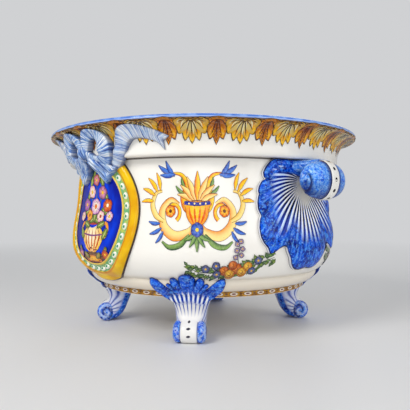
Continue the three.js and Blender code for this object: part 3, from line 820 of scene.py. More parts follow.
def sponged_blue():
    """A node group for cobalt dabbed on with a sponge: navy, cobalt and light blue patches."""
    group = bpy.data.node_groups.new("sponged_blue", "ShaderNodeTree")
    group_socket(group, "Light")
    group_socket(group, "Colour", "Color", way="OUTPUT")
    entry = group.nodes.new("NodeGroupInput")
    leave = group.nodes.new("NodeGroupOutput")
    light = Wire(group, entry.outputs["Light"])
    broad = noise_on(group, 13, detail=4, roughness=0.6, distortion=0.5) + light * 0.2
    fine = noise_on(group, 4.2, detail=4, roughness=0.65, distortion=0.4) + light * 0.16
    fleck = noise_on(group, 2.2, detail=3, roughness=0.65, distortion=0.3) + light * 0.16
    colour = coats(
        group, rgb(0, 30, 140),
        (rgb(0, 80, 216), broad.step(0.38, 0.56)),
        (rgb(70, 150, 246), fine.step(0.52, 0.64) * 0.7),
        (rgb(0, 10, 88), fine.step(0.46, 0.37) * 0.92),
        (rgb(150, 204, 254), fleck.step(0.58, 0.7) * 0.6),
        (rgb(0, 14, 96), fleck.step(0.45, 0.36) * 0.7),
    )
    group.links.new(colour, leave.inputs["Colour"])
    return group


sponge_group = sponged_blue()


def sponge_on(tree, light):
    """The sponged blue, lighter or darker overall by a small amount."""
    node = tree.nodes.new("ShaderNodeGroup")
    node.node_tree = sponge_group
    node.inputs["Light"].default_value = light
    return node.outputs["Colour"]


def streaks_on(tree, across, along, seed=None):
    """Streaks that a brush leaves, by a value across them and one along them."""
    place = tree.nodes.new("ShaderNodeCombineXYZ")
    tree.links.new(across.socket, place.inputs["X"])
    tree.links.new(along.socket, place.inputs["Y"])
    if seed is not None:
        tree.links.new(seed.socket, place.inputs["Z"])
    waver = tree.nodes.new("ShaderNodeTexNoise")
    waver.inputs["Scale"].default_value = 1.0
    waver.inputs["Detail"].default_value = 3.0
    tree.links.new(place.outputs["Vector"], waver.inputs["Vector"])
    return Wire(tree, waver.outputs["Fac"])


def shell_colour(tree):
    """Sponged blue with white flutes fanning from the roll, a dark lobed edge, and painted shade in the
    hollows.
    """
    share, fan, edge = (value_on(tree, key) for key in ("share", "fan", "edge"))
    ridge = value_on(tree, "flute").beat()
    brushed = noise_on(tree, 6, detail=2)
    streaks = streaks_on(tree, value_on(tree, "flute") * 3.4, share * 5)
    # Painted shade: the flutes' grooves turn from cobalt to near black towards the hub, under the roll
    gloom = share.step(0.62, 0.4)
    between = blend_colour(tree, rgb(14, 40, 150), rgb(20, 20, 40), gloom)
    pale = blend_colour(tree, rgb(206, 224, 250), rgb(246, 246, 244), gloom)
    return coats(
        tree, sponge_on(tree, 0.1),
        (rgb(112, 184, 250), streaks.step(0.54, 0.7) * 0.5),
        (rgb(0, 16, 108), streaks.step(0.46, 0.32) * 0.6),
        # Painted shade in the notches between the lobes and along the arm's sides
        (rgb(4, 12, 84), value_on(tree, "valley") * 0.75),
        (between, ridge.step(0.0, -0.55) * fan),
        (pale, ridge.step(0.0, 0.45) * fan * (brushed * 0.5 + 0.75)),
        (rgb(232, 228, 220), share.step(0.3, 0.17)),
        (rgb(8, 14, 64), edge.within(0.3, 1.4, 0.3)),
        (rgb(222, 224, 230), edge.step(0.35, -0.05)),
        (rgb(30, 32, 60), edge.step(-0.4, -0.7)),
    )


shell_glaze = glazed_material("shell_glaze", shell_colour, roughness=0.13, unevenness=0.08, shine=0.15)


def scallop(axis):
    """The fluted fan: rings from the hub to the lobed edge, then down to the pot."""
    half = np.array(shell_half_outline, float)
    bearing = np.degrees(np.arctan2(half[:, 0], shell_middle - half[:, 1]))
    reach = np.hypot(half[:, 0], half[:, 1] - shell_middle)
    a = np.linspace(-180, 180, 424, endpoint=False)
    lobed = np.interp(np.abs(a), bearing, reach)
    above = np.abs(a) > bearing[-1]
    upward = np.cos(np.radians(180 - np.abs(a[above])))
    lobed[above] = (shoulder_height - shell_middle) / np.maximum(upward, 0.3)
    notches = np.array([-28.5, 28.5, 62.6, 80.9, 95.5, 121, 240])
    place = np.searchsorted(notches, np.abs(a)) - 1
    inside = (np.abs(a) - notches[place]) / (notches[place + 1] - notches[place])
    bulge = np.sin(math.pi * np.clip(inside, 0, 1))
    t = np.concatenate([np.linspace(0.05, 0.88, 40), np.linspace(0.9, 1, 8)])[:, None]
    bent = np.radians(a + 30 * np.sin(np.radians(a)) * (1 - t) ** 1.5)
    arc = lobed * t * np.sin(bent)
    z = np.minimum(shell_middle - lobed * t * np.cos(bent), shoulder_height - 0.15)
    fan_end = np.interp(np.abs(a), (0, 12, 26, 36, 50, 80, 100, 125),
                        (0.6, 0.62, 0.55, 0.74, 0.62, 0.72, 0.8, 0.85))
    fan = np.interp(t, (0.14, 0.22), (0, 1)) * np.clip((fan_end + 0.08 - t) / 0.14, 0, 1)
    crown = np.interp(t, (0, 0.15, 0.4, 0.75, 0.92, 0.97, 1), (1.6, 2.2, 4.0, 5.4, 5.4, 5.0, 3.8))
    flutes = 0.6 * np.cos(2 * math.pi * a / flute_pitch) * (0.25 + 0.75 * fan) * np.clip(t / 0.3, 0, 1)
    flutes = flutes * np.interp(t, (0.85, 1), (1, 0))
    hollow = 2.0 * (1 - bulge) ** 1.6 * np.clip(t * 1.6 - 0.6, 0, 1) * (t < 1)
    rise = np.maximum(crown + flutes - hollow, 0.6)
    edge = np.maximum((1 - t) * lobed, 0) + 0.35
    last_lobe = 122
    # Painted shade in the notches between the lobes, near the lobed edge
    valley = (1 - bulge) ** 5 * np.clip(t * 3 - 2, 0, 1) * (np.abs(a) < last_lobe)
    sheet = [arc, z, rise, edge, np.broadcast_to(t, arc.shape), fan, valley]
    last = [v[-1:] for v in sheet]
    rows = [sheet]
    behind = [(1, last[2] * 0.8, 0.0), (1, last[2] * 0.25, -0.5), (1, -1.5, -0.9), (0.66, -2.5, -0.9),
              (0.33, -2.5, -0.9)]
    for share, stand, side in behind:
        level = shell_middle + (last[1] - shell_middle) * share
        rows.append([last[0] * share, level, last[2] * 0 + stand, last[3] * 0 + side, *last[4:]])
    arc, z, rise, edge, share, fan, valley = (np.concatenate(v) for v in zip(*rows))
    points = round_pot(axis, arc, z, rise, arc_radius=shell_arc_radius)
    values = {
        "share": share, "fan": fan, "edge": edge, "valley": valley,
        "flute": np.broadcast_to(a / flute_pitch, arc.shape),
    }
    hub, inner = (round_pot(axis, 0, shell_middle, stand) for stand in (1.6, -2.5))
    return closed_skin(points, values, first=hub, last=inner)


def arm(axis, side):
    """The scrolled arm on top of the fan, from under the roll out to its curled end."""
    path = smooth_path([
        (-3, 170.5), (-14, 173.2), (-26, 174.8), (-38, 174.2), (-46.2, 170.6), (-49.8, 165.8), (-46.5, 162.6),
    ], 48)
    reach = np.linspace(0, 1, len(path))
    half = np.interp(reach, (0, 0.3, 0.62, 0.8, 0.92, 1), (6.8, 6.8, 6.6, 5.4, 3.6, 1.6))
    across = sideways(path)
    phase = full_turn(28)
    wide = half[:, None] * np.cos(phase)
    arc = side * -(path[:, :1] + across[:, :1] * wide)
    z = np.minimum(path[:, 1:] + across[:, 1:] * wide, shoulder_height - 0.2)
    tall = np.interp(reach, (0, 0.6, 0.9, 1), (3.6, 3.4, 2.8, 1.8))[:, None]
    rise = 3.4 + tall * np.sin(phase) - 1.1 * np.exp(-((wide / 2.2) ** 2)) * (np.sin(phase) > 0)
    points = round_pot(axis, arc, z, rise, arc_radius=shell_arc_radius)
    blank = np.zeros(arc.shape)
    # Its valley value is painted shade along the arm's sides, where it meets the fan
    values = {"share": blank + 1, "fan": blank, "edge": blank + 9, "flute": blank,
              "valley": np.clip(1 - (half[:, None] - np.abs(wide)) / 1.4, 0, 1)}
    return closed_skin(points, values)


def joined(parts):
    """Several skins with the same named values, as one set of points, faces and values."""
    faces, first = [], 0
    for points, part_faces, _ in parts:
        faces.append(part_faces + first)
        first += points.reshape(-1, 3).shape[0]
    values = {key: np.concatenate([np.ravel(part[2][key]) for part in parts]) for key in parts[0][2]}
    return np.concatenate([part[0].reshape(-1, 3) for part in parts]), np.concatenate(faces), values


def fired(name, skins, material, slot, *nodes):
    """One glazed piece from its skins, in the place of the solids it stands for."""
    points, faces, values = joined(skins)
    piece = piece_from(name, points, faces, values=values)
    merge_seams(piece)
    settle(piece, material, slot, *nodes)


handle_axes = {"right": 0, "left": 180}
for name, axis in handle_axes.items():
    skins = [scallop(axis), arm(axis, 1), arm(axis, -1)]
    fired(f"handle_shell_{name}_glazed", skins, shell_glaze, "blue_glaze", f"handle_shell_{name}")


# Rolls of the handles
# Each handle is an egg-shaped roll that stands off the shoulder on a short arch, curled like a
# volute at both ends, with a raised white strap round its middle that carries dark painted dots.
roll_length, roll_height, roll_depth = 28.5, 19.2, 14.5
roll_stand = waist_radius + 24
roll_middle = shoulder_height - 20.5
strap_half_width = 6.2
strap_dots = 11


def roll_colour(tree):
    """Sponged blue with painted glints and painted shade, and a white strap with dark dots."""
    along, turn, groove = (value_on(tree, key) for key in ("along", "turn", "groove"))
    size = along.reckon("ABSOLUTE")
    glint = noise_on(tree, 3.4, roughness=0.65, distortion=0.6).step(0.56, 0.66)
    # Painted shade on the roll's underside
    under = turn.within(0.56, 0.9, 0.16) * noise_on(tree, 7).step(0.24, 0.5)
    strap = size.step(strap_half_width + 0.15, strap_half_width - 0.15)
    spot = (turn.beat(strap_dots) - (size.reckon("POWER", 2) * 0.14)).step(0.34, 0.5)
    return coats(
        tree, sponge_on(tree, 0.85),
        # Painted highlights and shade: light glints, navy underneath, in the spiral grooves and beside the
        # strap
        (rgb(206, 230, 255), glint * 0.6),
        (rgb(2, 18, 104), under * 0.85),
        (rgb(8, 14, 80), groove * 0.9),
        (rgb(8, 20, 104), size.within(strap_half_width, strap_half_width + 4.5, 2.0) * 0.75),
        (rgb(14, 20, 66), size.within(strap_half_width, strap_half_width + 1.3, 0.25)),
        (rgb(240, 238, 232), strap),
        (rgb(26, 22, 34), spot * strap),
    )


roll_glaze = glazed_material("roll_glaze", roll_colour, roughness=0.12, unevenness=0.08, shine=0.2)


def roll(axis):
    """The egg-shaped roll with a spiral groove on each end and the raised strap."""
    lean = np.linspace(-math.pi / 2, math.pi / 2, 97)[1:-1]
    along = (roll_length * np.sin(lean))[:, None]
    swell = (np.cos(lean) ** 0.5)[:, None]
    turn = np.linspace(0, 1, 96, endpoint=False)[None, :]
    phase = 2 * math.pi * turn
    spiral = np.cos(phase - math.pi * 0.55 - 2 * math.pi * 1.25 * (1 - swell))
    near_end = np.clip((np.abs(along) - strap_half_width - 2) / 5, 0, 1)
    groove = np.clip((spiral - 0.62) / 0.38, 0, 1) * near_end * np.clip(swell * 6 - 1.2, 0, 1)
    strap = np.clip((strap_half_width + 0.4 - np.abs(along)) / 0.5, 0, 1)
    grown = 0.8 * strap - 0.9 * groove - 0.2
    out = roll_stand + (roll_depth * swell + grown) * np.cos(phase)
    up = np.minimum(roll_middle + (roll_height * swell + grown) * np.sin(phase), shoulder_height - 0.2)
    along, turn = (np.broadcast_to(v, out.shape) for v in (along, turn))
    points = turned_to(axis, np.stack([out, along, up], axis=-1))
    return closed_skin(points, {"along": along, "turn": turn, "groove": groove})


def squarer(v, power):
    """A sine or a cosine drawn out towards a squarer round."""
    return np.sign(v) * np.abs(v) ** power


def arch(axis):
    """The bridge that carries the roll: a rounded block from the shoulder out into the roll."""
    share = np.linspace(0, 1, 16)[:, None]
    out = (waist_radius - 1) + share * (roll_stand - waist_radius + 1)
    half = 26 - 9.5 * share**0.7
    bottom = (shoulder_height - 13) + 1.5 * share
    top = shoulder_height - 0.25
    phase = full_turn(40)
    across = half * squarer(np.cos(phase), 0.55)
    up = (top + bottom) / 2 + (top - bottom) / 2 * squarer(np.sin(phase), 0.55)
    points = turned_to(axis, np.stack([np.broadcast_to(out, across.shape), across, up], axis=-1))
    blank = np.zeros(across.shape)
    return closed_skin(points, {"along": blank + 20, "turn": blank, "groove": blank})


for name, axis in handle_axes.items():
    skins = [roll(axis), arch(axis)]
    fired(f"handle_roll_{name}_glazed", skins, roll_glaze, "blue_glaze", f"handle_scroll_{name}")


# Medallions
# Oval plaques on the belly at front and back, tucked under the collar: a raised ochre frame round a
# green channel, a thin yellow fillet, and a deep blue field.
plaque_half_width, plaque_half_height = 61.0, 68.0
plaque_middle = shoulder_height - 55
field_rise = 3.0


def medallion_colour(tree):
    """By the distance in from the edge: ochre frame, green channel, yellow fillet and blue field."""
    inset = value_on(tree, "inset")
    pooled = noise_on(tree, 22, detail=2).step(0.35, 0.7)
    sun = blend_colour(tree, rgb(238, 196, 22), rgb(222, 160, 8), pooled)
    depth = noise_on(tree, 26, stretch=(1, 1, 0.5)).step(0.32, 0.58)
    field = blend_colour(tree, rgb(0, 14, 140), rgb(0, 62, 226), depth * inset.step(19, 30))
    green = blend_colour(tree, rgb(112, 176, 122), rgb(178, 196, 96), noise_on(tree, 5).step(0.45, 0.65))
    return coats(
        tree, sun,
        (field, inset.step(18.9, 19.4)),
        (rgb(60, 44, 40), inset.step(0.7, 0.3)),
        (rgb(208, 128, 10), inset.within(8.0, 9.5, 0.5)),
        (green, inset.within(10.3, 17.2, 0.3)),
        (rgb(226, 196, 90), inset.within(17.5, 18.9, 0.25)),
        (rgb(30, 24, 74), inset.within(19.2, 19.9, 0.25)),
    )


medallion_glaze = glazed_material("medallion_glaze", medallion_colour, roughness=0.12, unevenness=0.06,
                                  shine=0.18)


def place_on_plaque(axis, arc, z, lift):
    """Points by arc and height, by how far they stand off the belly under a plaque."""
    return round_pot(axis, arc, np.minimum(z, shoulder_height - 0.2), lift)


def oval(turn):
    """Points of the plaque's oval, a little squarer in its lower half than an ellipse."""
    return squarer(np.cos(turn), 1 - 0.16 * np.clip(-np.sin(turn), 0, 1)), np.sin(turn)


def plaque(axis):
    """The plaque's rings: from its back over the frame, the channel and the fillet into the field."""
    section = [
        (44, -2.5), (22, -2.2), (0, -1.5), (0, 0.8), (0.1, 1.9), (0.7, 3.2), (1.8, 4.4), (3.2, 5.1),
        (4.8, 5.35), (6.6, 5.3), (8, 4.9), (8.9, 4.4), (9.6, 4.5), (10.1, 3.9), (10.7, 3.3), (13.8, 2.9),
        (16.8, 3.2), (17.4, 4.1), (18, 4.6), (18.7, 4.6), (19.2, 3.8), (19.8, 3.1), (22, field_rise),
        (30, field_rise), (40, field_rise), (51, field_rise), (60, field_rise),
    ]
    inset, rise = np.array(section, float).T[..., None]
    full_across, full_up = oval(full_turn(200))
    arc = (plaque_half_width - inset) * full_across
    points = place_on_plaque(axis, arc, plaque_middle + (plaque_half_height - inset) * full_up, rise)
    inner, middle = (place_on_plaque(axis, 0, plaque_middle, stand) for stand in (-2.5, field_rise))
    return closed_skin(points, {"inset": np.broadcast_to(inset, arc.shape)}, first=inner, last=middle)


medallion_axes = {"front": -90, "back": 90}
for name, axis in medallion_axes.items():
    fired(f"medallion_{name}_glazed", [plaque(axis)], medallion_glaze, "yellow_glaze", f"medallion_{name}")

# Beads in the medallion's channel, one for each point of a line that runs round from end to end
bead_inset, bead_pitch, bead_stand = 13.8, 9.6, 2.7
bead_line_start, bead_line_end = -234, 54
bead_size = (1.9 * mm, 3.7 * mm, 2.7 * mm)


def bead_colour(tree):
    """White beads that fade into the green at their foot."""
    return blend_colour(tree, rgb(238, 240, 226), rgb(52, 140, 98), value_on(tree, "rise").step(0.86, 0.93))


bead_glaze = glazed_material("bead_glaze", bead_colour, roughness=0.12, unevenness=0.03)


def bead_row(axis):
    """Points along the channel, each with the turn that lays a bead along it."""
    half = (plaque_half_width - bead_inset, plaque_half_height - bead_inset)
    fine = np.radians(np.linspace(bead_line_start, bead_line_end, 600))
    path = np.stack([half[0] * oval(fine)[0], plaque_middle + half[1] * oval(fine)[1]], axis=-1)
    flow = np.gradient(path, axis=0)
    run = np.concatenate([[0], np.cumsum(np.hypot(*np.diff(path, axis=0).T))])
    count = int(run[-1] / bead_pitch)
    even = np.linspace(0, run[-1], count)
    arc, z, step_across, step_up = (np.interp(even, run, v) for v in (*path.T, *flow.T))
    spots = place_on_plaque(axis, arc, z, bead_stand)
    tilt = np.arctan2(step_up, step_across)
    facing = math.radians(axis) + arc / belly_radius
    return spots, np.stack([tilt, np.zeros(count), facing], axis=-1)


def beads_on_points(points, aims):
    """Flattened beads on the points of a row, made with nodes and left as one plain mesh."""
    row = piece_from("bead_row", points, [])
    aim = row.data.attributes.new("aim", "FLOAT_VECTOR", "POINT")
    aim.data.foreach_set("vector", np.asarray(aims, float).ravel())
    tree = bpy.data.node_groups.new("beads_on_points", "GeometryNodeTree")
    group_socket(tree, "Row", "Geometry")
    size = group_socket(tree, "Bead Size", "Vector")
    finish = group_socket(tree, "Finish", "Material")
    group_socket(tree, "Beads", "Geometry", way="OUTPUT")
    entry, leave = tree.nodes.new("NodeGroupInput"), tree.nodes.new("NodeGroupOutput")
    ball = tree.nodes.new("GeometryNodeMeshUVSphere")
    ball.inputs["Segments"].default_value = 20
    ball.inputs["Rings"].default_value = 14
    where = tree.nodes.new("GeometryNodeInputPosition")
    split = tree.nodes.new("ShaderNodeSeparateXYZ")
    mark = tree.nodes.new("GeometryNodeStoreNamedAttribute")
    mark.inputs["Name"].default_value = "rise"
    aim_value = tree.nodes.new("GeometryNodeInputNamedAttribute")
    aim_value.data_type = "FLOAT_VECTOR"
    aim_value.inputs["Name"].default_value = "aim"
    copy = tree.nodes.new("GeometryNodeInstanceOnPoints")
    real = tree.nodes.new("GeometryNodeRealizeInstances")
    smooth = tree.nodes.new("GeometryNodeSetShadeSmooth")
    dress = tree.nodes.new("GeometryNodeSetMaterial")
    link_all(
        tree,
        (where.outputs["Position"], split.inputs["Vector"]),
        (ball.outputs["Mesh"], mark.inputs["Geometry"]),
        (split.outputs["X"], mark.inputs["Value"]),
        (entry.outputs["Row"], copy.inputs["Points"]),
        (mark.outputs["Geometry"], copy.inputs["Instance"]),
        (aim_value.outputs["Attribute"], copy.inputs["Rotation"]),
        (entry.outputs["Bead Size"], copy.inputs["Scale"]),
        (copy.outputs["Instances"], real.inputs["Geometry"]),
        (real.outputs["Geometry"], smooth.inputs["Geometry"]),
        (smooth.outputs["Geometry"], dress.inputs["Geometry"]),
        (entry.outputs["Finish"], dress.inputs["Material"]),
        (dress.outputs["Geometry"], leave.inputs["Beads"]),
    )
    modifier = row.modifiers.new("beads", "NODES")
    modifier.node_group = tree
    modifier[size.identifier] = bead_size
    modifier[finish.identifier] = bead_glaze
    return freeze(row)


for name, axis in medallion_axes.items():
    beads = beads_on_points(*bead_row(axis))
    beads.name = f"medallion_{name}_beads"
    settle(beads, None, "white_glaze")


# Scroll feet
# Four feet luted under the ledge: a five-leaved palmette spreads over the base band, runs down into
# a fluted white leg, and the leg curls into a roll with a blue volute at each end.
foot_turn = 50
foot_roll_out, foot_roll_up = band_radius - 3.5, 10.9
ledge_top = underside_height + 19.6

# A leg's levels from the top down: its back edge and that edge's height, the same for its front, its
# half width and how far its face is pinched, read beside a base band of this radius
read_band_radius = 121
leg_levels = np.array([
    (84, 47, 124.5, 47.5, 23, 0), (87, 36, 119, 37.2, 18.4, 0), (89.5, 28.8, 116.4, 31, 16.4, 0),
    (93, 19.8, 116.2, 26.6, 15.6, 0), (97, 10.8, 118.6, 23.4, 15.4, 0.2), (104, 3.4, 122.4, 21.2, 15.6, 0.4),
    (113, 0.6, 124.4, 17.4, 16, 0.5),
])
palmette_middle = underside_height - 9
palmette_top = underside_height + 26.5
palmette_half_outline = [
    (0, 71.5), (3.8, 71), (6.8, 68.9), (8.2, 66.4), (8.8, 64.6), (11.5, 67.6), (14.6, 67.4), (16.8, 64.6),
    (17.4, 61.4), (19.6, 61.6), (21.2, 60), (21.4, 58.2), (27, 62.6), (32.4, 66.8), (36, 66.5), (37.4, 62.5),
    (36, 54), (31.2, 47.4), (25.2, 43.8), (18.2, 39.8), (13.8, 33), (12.5, 28),
]
foot_keys = ("tint", "fan", "valley", "groove", "flute", "spot", "pale")


def foot_colour(tree):
    """White leg and barrel, sponged blue palmette and volutes, dark flutes and spots, painted shade and
    highlights.
    """
    tint, fan, valley, groove, flute, spot, pale = (value_on(tree, key) for key in foot_keys)
    ridge = flute.beat()
    dabs = noise_on(tree, 2.8, detail=4, roughness=0.65)
    shade = blend_colour(tree, rgb(72, 98, 182), rgb(8, 40, 150), tint)
    return coats(
        tree, rgb(238, 236, 232),
        (sponge_on(tree, 0.24), tint),
        (rgb(190, 204, 230), dabs.step(0.48, 0.58) * pale * 0.65),
        (rgb(30, 50, 112), dabs.step(0.42, 0.32) * pale * 0.6),
        (shade, ridge.step(-0.35, -0.85) * fan),
        (rgb(246, 248, 252), ridge.step(0.0, 0.4) * fan * tint),
        # Painted shade between the palmette's lobes and in the ears' seams, with the lobes' dark outline
        (rgb(4, 14, 84), valley.step(0, 1) * 0.9),
        # Painted highlight on the volutes' coils and painted shade in their spiral grooves
        (rgb(190, 212, 246), groove.step(0.0, -1.0) * 0.8),
        (rgb(14, 24, 100), groove.step(0.0, 1.0) * 0.85),
        (rgb(44, 42, 60), spot.step(0.35, 0.6)),
    )


foot_glaze = glazed_material("foot_glaze", foot_colour, roughness=0.13, unevenness=0.07, shine=0.2)


def foot_values(shape, **given):
    """The named values of a part of a foot, zero where not given."""
    return {key: np.broadcast_to(given.get(key, 0.0), shape) for key in foot_keys}


def fan_flute(across, up):
    """The flutes' beat: they fan up from a point below the leg."""
    return np.degrees(np.arctan2(across, up + 12)) / 4.9


def blue_above(across, up):
    """Where the white of a leg turns into the palmette's blue: lower at its sides."""
    return np.clip((up - 38 + 0.05 * np.abs(across) ** 1.6) / 6, 0, 1)


def leg_face(z):
    """How far the front of a leg stands from the pot's axis at a height."""
    return np.interp(z, leg_levels[::-1, 3], leg_levels[::-1, 2]) + band_radius - read_band_radius


def palmette_stand(z):
    """How far the palmette's face stands out: inside the leg low down, then along the ledge, leaning out."""
    ahead = pot_radius(np.minimum(z + 4, ledge_top)) - 4
    share = np.clip((z - (underside_height - 17)) / (palmette_top - underside_height + 17), 0, 1)
    lean = np.sqrt(share * share * (3 - 2 * share))
    whole = band_radius + lean * (np.maximum(pot_radius(z), ahead) + 4 - band_radius)
    free = np.clip((z - 38) / 6, 0, 1) ** 0.7
    return leg_face(z) - 2.5 + free * (whole - leg_face(z) + 2.5)


def palmette(axis):
    """The leaves over the base band: rings from their root to the lobed edge, then back to the pot."""
    half = np.array(palmette_half_outline, float)
    bearing = np.degrees(np.arctan2(half[:, 0], half[:, 1] - palmette_middle))
    reach = np.hypot(half[:, 0], half[:, 1] - palmette_middle)
    a = np.linspace(-180, 180, 320, endpoint=False)
    lobed = np.interp(np.abs(a), [*bearing, 180], [*reach, 13])
    notches = np.array([-17.1, 17.1, 34.4, 44, 66, 190])
    slot = np.clip(np.searchsorted(notches, np.abs(a)) - 1, 0, 4)
    inside = (np.abs(a) - notches[slot]) / (notches[slot + 1] - notches[slot])
    bulge = np.where(slot == 4, 1, np.sin(math.pi * np.clip(inside, 0, 1)))
    bulge = np.where((slot == 3) & (inside > 0.3), 1, bulge)
    t = np.concatenate([np.linspace(0.04, 0.9, 26), np.linspace(0.93, 1, 5)])[:, None]
    arc = lobed * t * np.sin(np.radians(a))
    z = palmette_middle + lobed * t * np.cos(np.radians(a))
    upper = np.clip((z - underside_height + 2) / 8, 0, 1)
    rise = np.interp(t, (0, 0.5, 0.85, 0.95, 1), (0.7, 0.8, 0.6, -0.2, -1.4))
    sunk = 2.6 * (1 - bulge) ** 1.4 * np.clip(t * 1.5 - 0.5, 0, 1)
    rise = rise - sunk + 1.3 * bulge * upper * (t < 0.99) * t
    reach_up = 52.5 - 0.012 * arc**2 + 1.5 * np.sin(arc * 1.9)
    fan = np.clip((reach_up - z) / 3, 0, 1)
    rise = rise + 0.35 * np.cos(2 * math.pi * fan_flute(arc, z)) * fan
    tint = blue_above(arc, z)
    outline_dark = np.clip((t - 0.955) / 0.03, 0, 1) * (z > 40)
    # Painted shade between the lobes, and the dark outline of the lobes' tips
    valley = np.maximum((1 - bulge) ** 2.6 * np.clip(t * 3 - 1.5, 0, 1), outline_dark)
    values = foot_values(arc.shape, tint=tint, fan=fan, valley=valley, flute=fan_flute(arc, z))
    back = [(arc[-1:] * k, palmette_middle + (z[-1:] - palmette_middle) * k) for k in (1, 0.7, 0.4, 0.1)]
    out = np.concatenate([palmette_stand(z) + rise, *(palmette_stand(high) - 9 for _, high in back)])
    arc = np.concatenate([arc, *(wide for wide, _ in back)])
    z = np.concatenate([z, *(high for _, high in back)])
    values = {key: np.concatenate([v] + [v[-1:]] * len(back)) for key, v in values.items()}
    return closed_skin(around(out, math.radians(axis) + arc / ledge_radius, z), values)


def splined(values, place):
    """A smooth run through evenly spaced values."""
    values = np.asarray(values, float)
    padded = np.concatenate([2 * values[:1] - values[1:2], values, 2 * values[-1:] - values[-2:-1]])
    i = np.clip(np.floor(place).astype(int), 0, len(values) - 2)
    u = (place - i).reshape(-1, *[1] * (values.ndim - 1))
    return eased(*(padded[i + k] for k in range(4)), u)


def leg(axis):
    """The leg, lofted from its back and front edges and its half width at each level."""
    level = np.linspace(0, len(leg_levels) - 1, 61)
    back, back_up, front, front_up, half, pinch = (splined(column, level)[:, None] for column in leg_levels.T)
    phase = full_turn(72)
    depth = 0.5 + 0.5 * squarer(np.sin(phase), 0.7)
    across = half * squarer(np.cos(phase), 0.62) * (1 - pinch * np.clip(depth * 2 - 1, 0, 1))
    up = back_up + depth * (front_up - back_up)
    facing = np.clip((np.sin(phase) + 0.45) / 0.3, 0, 1)
    fan = np.clip((up - 25) / 9, 0, 1) * facing
    beat = fan_flute(across, up) + (1 - depth) * np.sign(across) * 2.5
    out = back + depth * (front - back) + 0.35 * np.cos(2 * math.pi * beat) * fan
    out = out + band_radius - read_band_radius
    flank = np.clip((0.8 - np.abs(np.sin(phase))) / 0.3, 0, 1) * 0.5
    tint = np.maximum(np.maximum(1 - facing, flank), blue_above(across, up))
    fan = np.maximum(fan, flank * 1.6 * facing)
    spot = np.exp(-((across / 1.5) ** 2 + ((up - 21.6) / 1.3) ** 2)) * (depth > 0.8)
    values = foot_values(across.shape, tint=tint, fan=fan, flute=beat, spot=spot)
    return closed_skin(turned_to(axis, np.stack([out, across, up], axis=-1)), values)


def foot_roll(axis):
    """The curl on the ground: a white barrel with a blue volute standing out at each end."""
    section = np.array([
        (0, 11.1), (4, 11.1), (7.6, 11.0), (8.3, 10.2), (8.9, 9.9), (10, 10.6), (11.8, 10.9), (13.6, 10.4),
        (15, 9.2), (16, 7.7), (16.7, 5.6), (17, 3.6), (17.1, 1.8), (17.1, 0.2),
    ])
    along = np.concatenate([-section[::-1, 0], section[1:, 0]])[:, None]
    radius = np.concatenate([section[::-1, 1], section[1:, 1]])[:, None]
    turn = full_turn(72)
    coil = np.cos(turn * -1 - 2 * math.pi * 1.4 * (1 - radius / 11))
    ear = np.clip((np.abs(along) - 8.1) / 0.8, 0, 1)
    end = np.clip((np.abs(along) - 14) / 2, 0, 1)
    groove = coil * end * np.clip(radius / 3, 0, 1)
    out = foot_roll_out + (radius - 0.5 * np.clip(groove, 0, 1)) * np.cos(turn)
    up = np.maximum(foot_roll_up + radius * np.sin(turn), 0.0)
    across = np.broadcast_to(along, out.shape)
    round_turn = (np.degrees(turn) + 180) % 360 - 180
    spot = sum(np.exp(-((across / 1.5) ** 2 + ((round_turn - at) / 8) ** 2)) for at in (27, -13))
    # Painted shade in the groove where each ear meets the barrel
    seam = np.exp(-(((np.abs(along) - 8.6) / 0.5) ** 2)) * 0.8
    values = foot_values(out.shape, tint=ear, groove=groove, spot=spot, valley=seam, pale=ear)
    return closed_skin(turned_to(axis, np.stack([out, across, up], axis=-1)), values)


foot_axes = {
    "front_right": -foot_turn, "back_right": foot_turn,
    "front_left": foot_turn - 180, "back_left": 180 - foot_turn,
}
for name, axis in foot_axes.items():
    skins = [palmette(axis), leg(axis), foot_roll(axis)]
    fired(f"foot_{name}_glazed", skins, foot_glaze, "blue_glaze", f"foot_{name}")


# Ribbon bows
# A modelled ribbon bow over each medallion: a tied knot, two puffed loops, two pleated tails on the
# plaque and two streamers that fold under the lip. Pale blue glaze with white and blue pleat lines.
knot_height = shoulder_height + 8
bow_arc_radius = collar_radius
lane_count = 19
knot_seed, loop_seed, streamer_seed, tail_seed = 3.3, 1.7, 5.1, 8.4


def pleat_beat(tree):
    """The pleats across a ribbon: slanted bars of uneven width along its length, about -1 to 1."""
    along, across, seed = (value_on(tree, key) for key in ("along", "across", "seed"))
    slant = along + across * 0.3
    bars = streaks_on(tree, slant * 0.62, across * 0.035, seed * 7.3)
    fine = streaks_on(tree, slant * 1.5, across * 0.06, seed * 3.1 + 5.0)
    return (bars * 0.6 + fine * 0.4 + -0.5) * 9.0


def ribbon_colour(tree):
    """Pale blue with white and blue pleat lines, whiter on the streamers, and painted shade on edges, sides
    and back.
    """
    beat, patches = pleat_beat(tree), noise_on(tree, 5)
    streamer = value_on(tree, "seed").within(streamer_seed - 1.5, streamer_seed + 1.5, 0.2)
    return coats(
        tree, rgb(156, 186, 224),
        (rgb(98, 140, 206), patches.step(0.42, 0.6)),
        (rgb(242, 246, 248), beat.step(0.1, 0.6) * (patches + 0.35)),
        (rgb(236, 240, 244), streamer * patches.step(0.3, 0.56) * 0.5),
        (rgb(74, 118, 200), beat.step(-0.3, -0.7) * 0.85),
        (rgb(40, 56, 112), beat.step(-0.8, -1.15) * 0.85),
        (rgb(30, 48, 108), value_on(tree, "shade") * 0.85),
    )


def ribbon_relief(tree):
    """The pleats as a height, in millimetres."""
    return pleat_beat(tree) * 0.22


ribbon_glaze = glazed_material("ribbon_glaze", ribbon_colour, roughness=0.15, unevenness=0.1,
                               relief_of=ribbon_relief)

# The line that a bow lies against, down over the collar and the shoulder
drape = outer_line[outer_line[:, 1] > shoulder_height + 4.6]
drape = np.concatenate([[(waist_radius, 0), (waist_radius, shoulder_height - 13),
                         (collar_radius - 3.2, shoulder_height + 1)], drape])


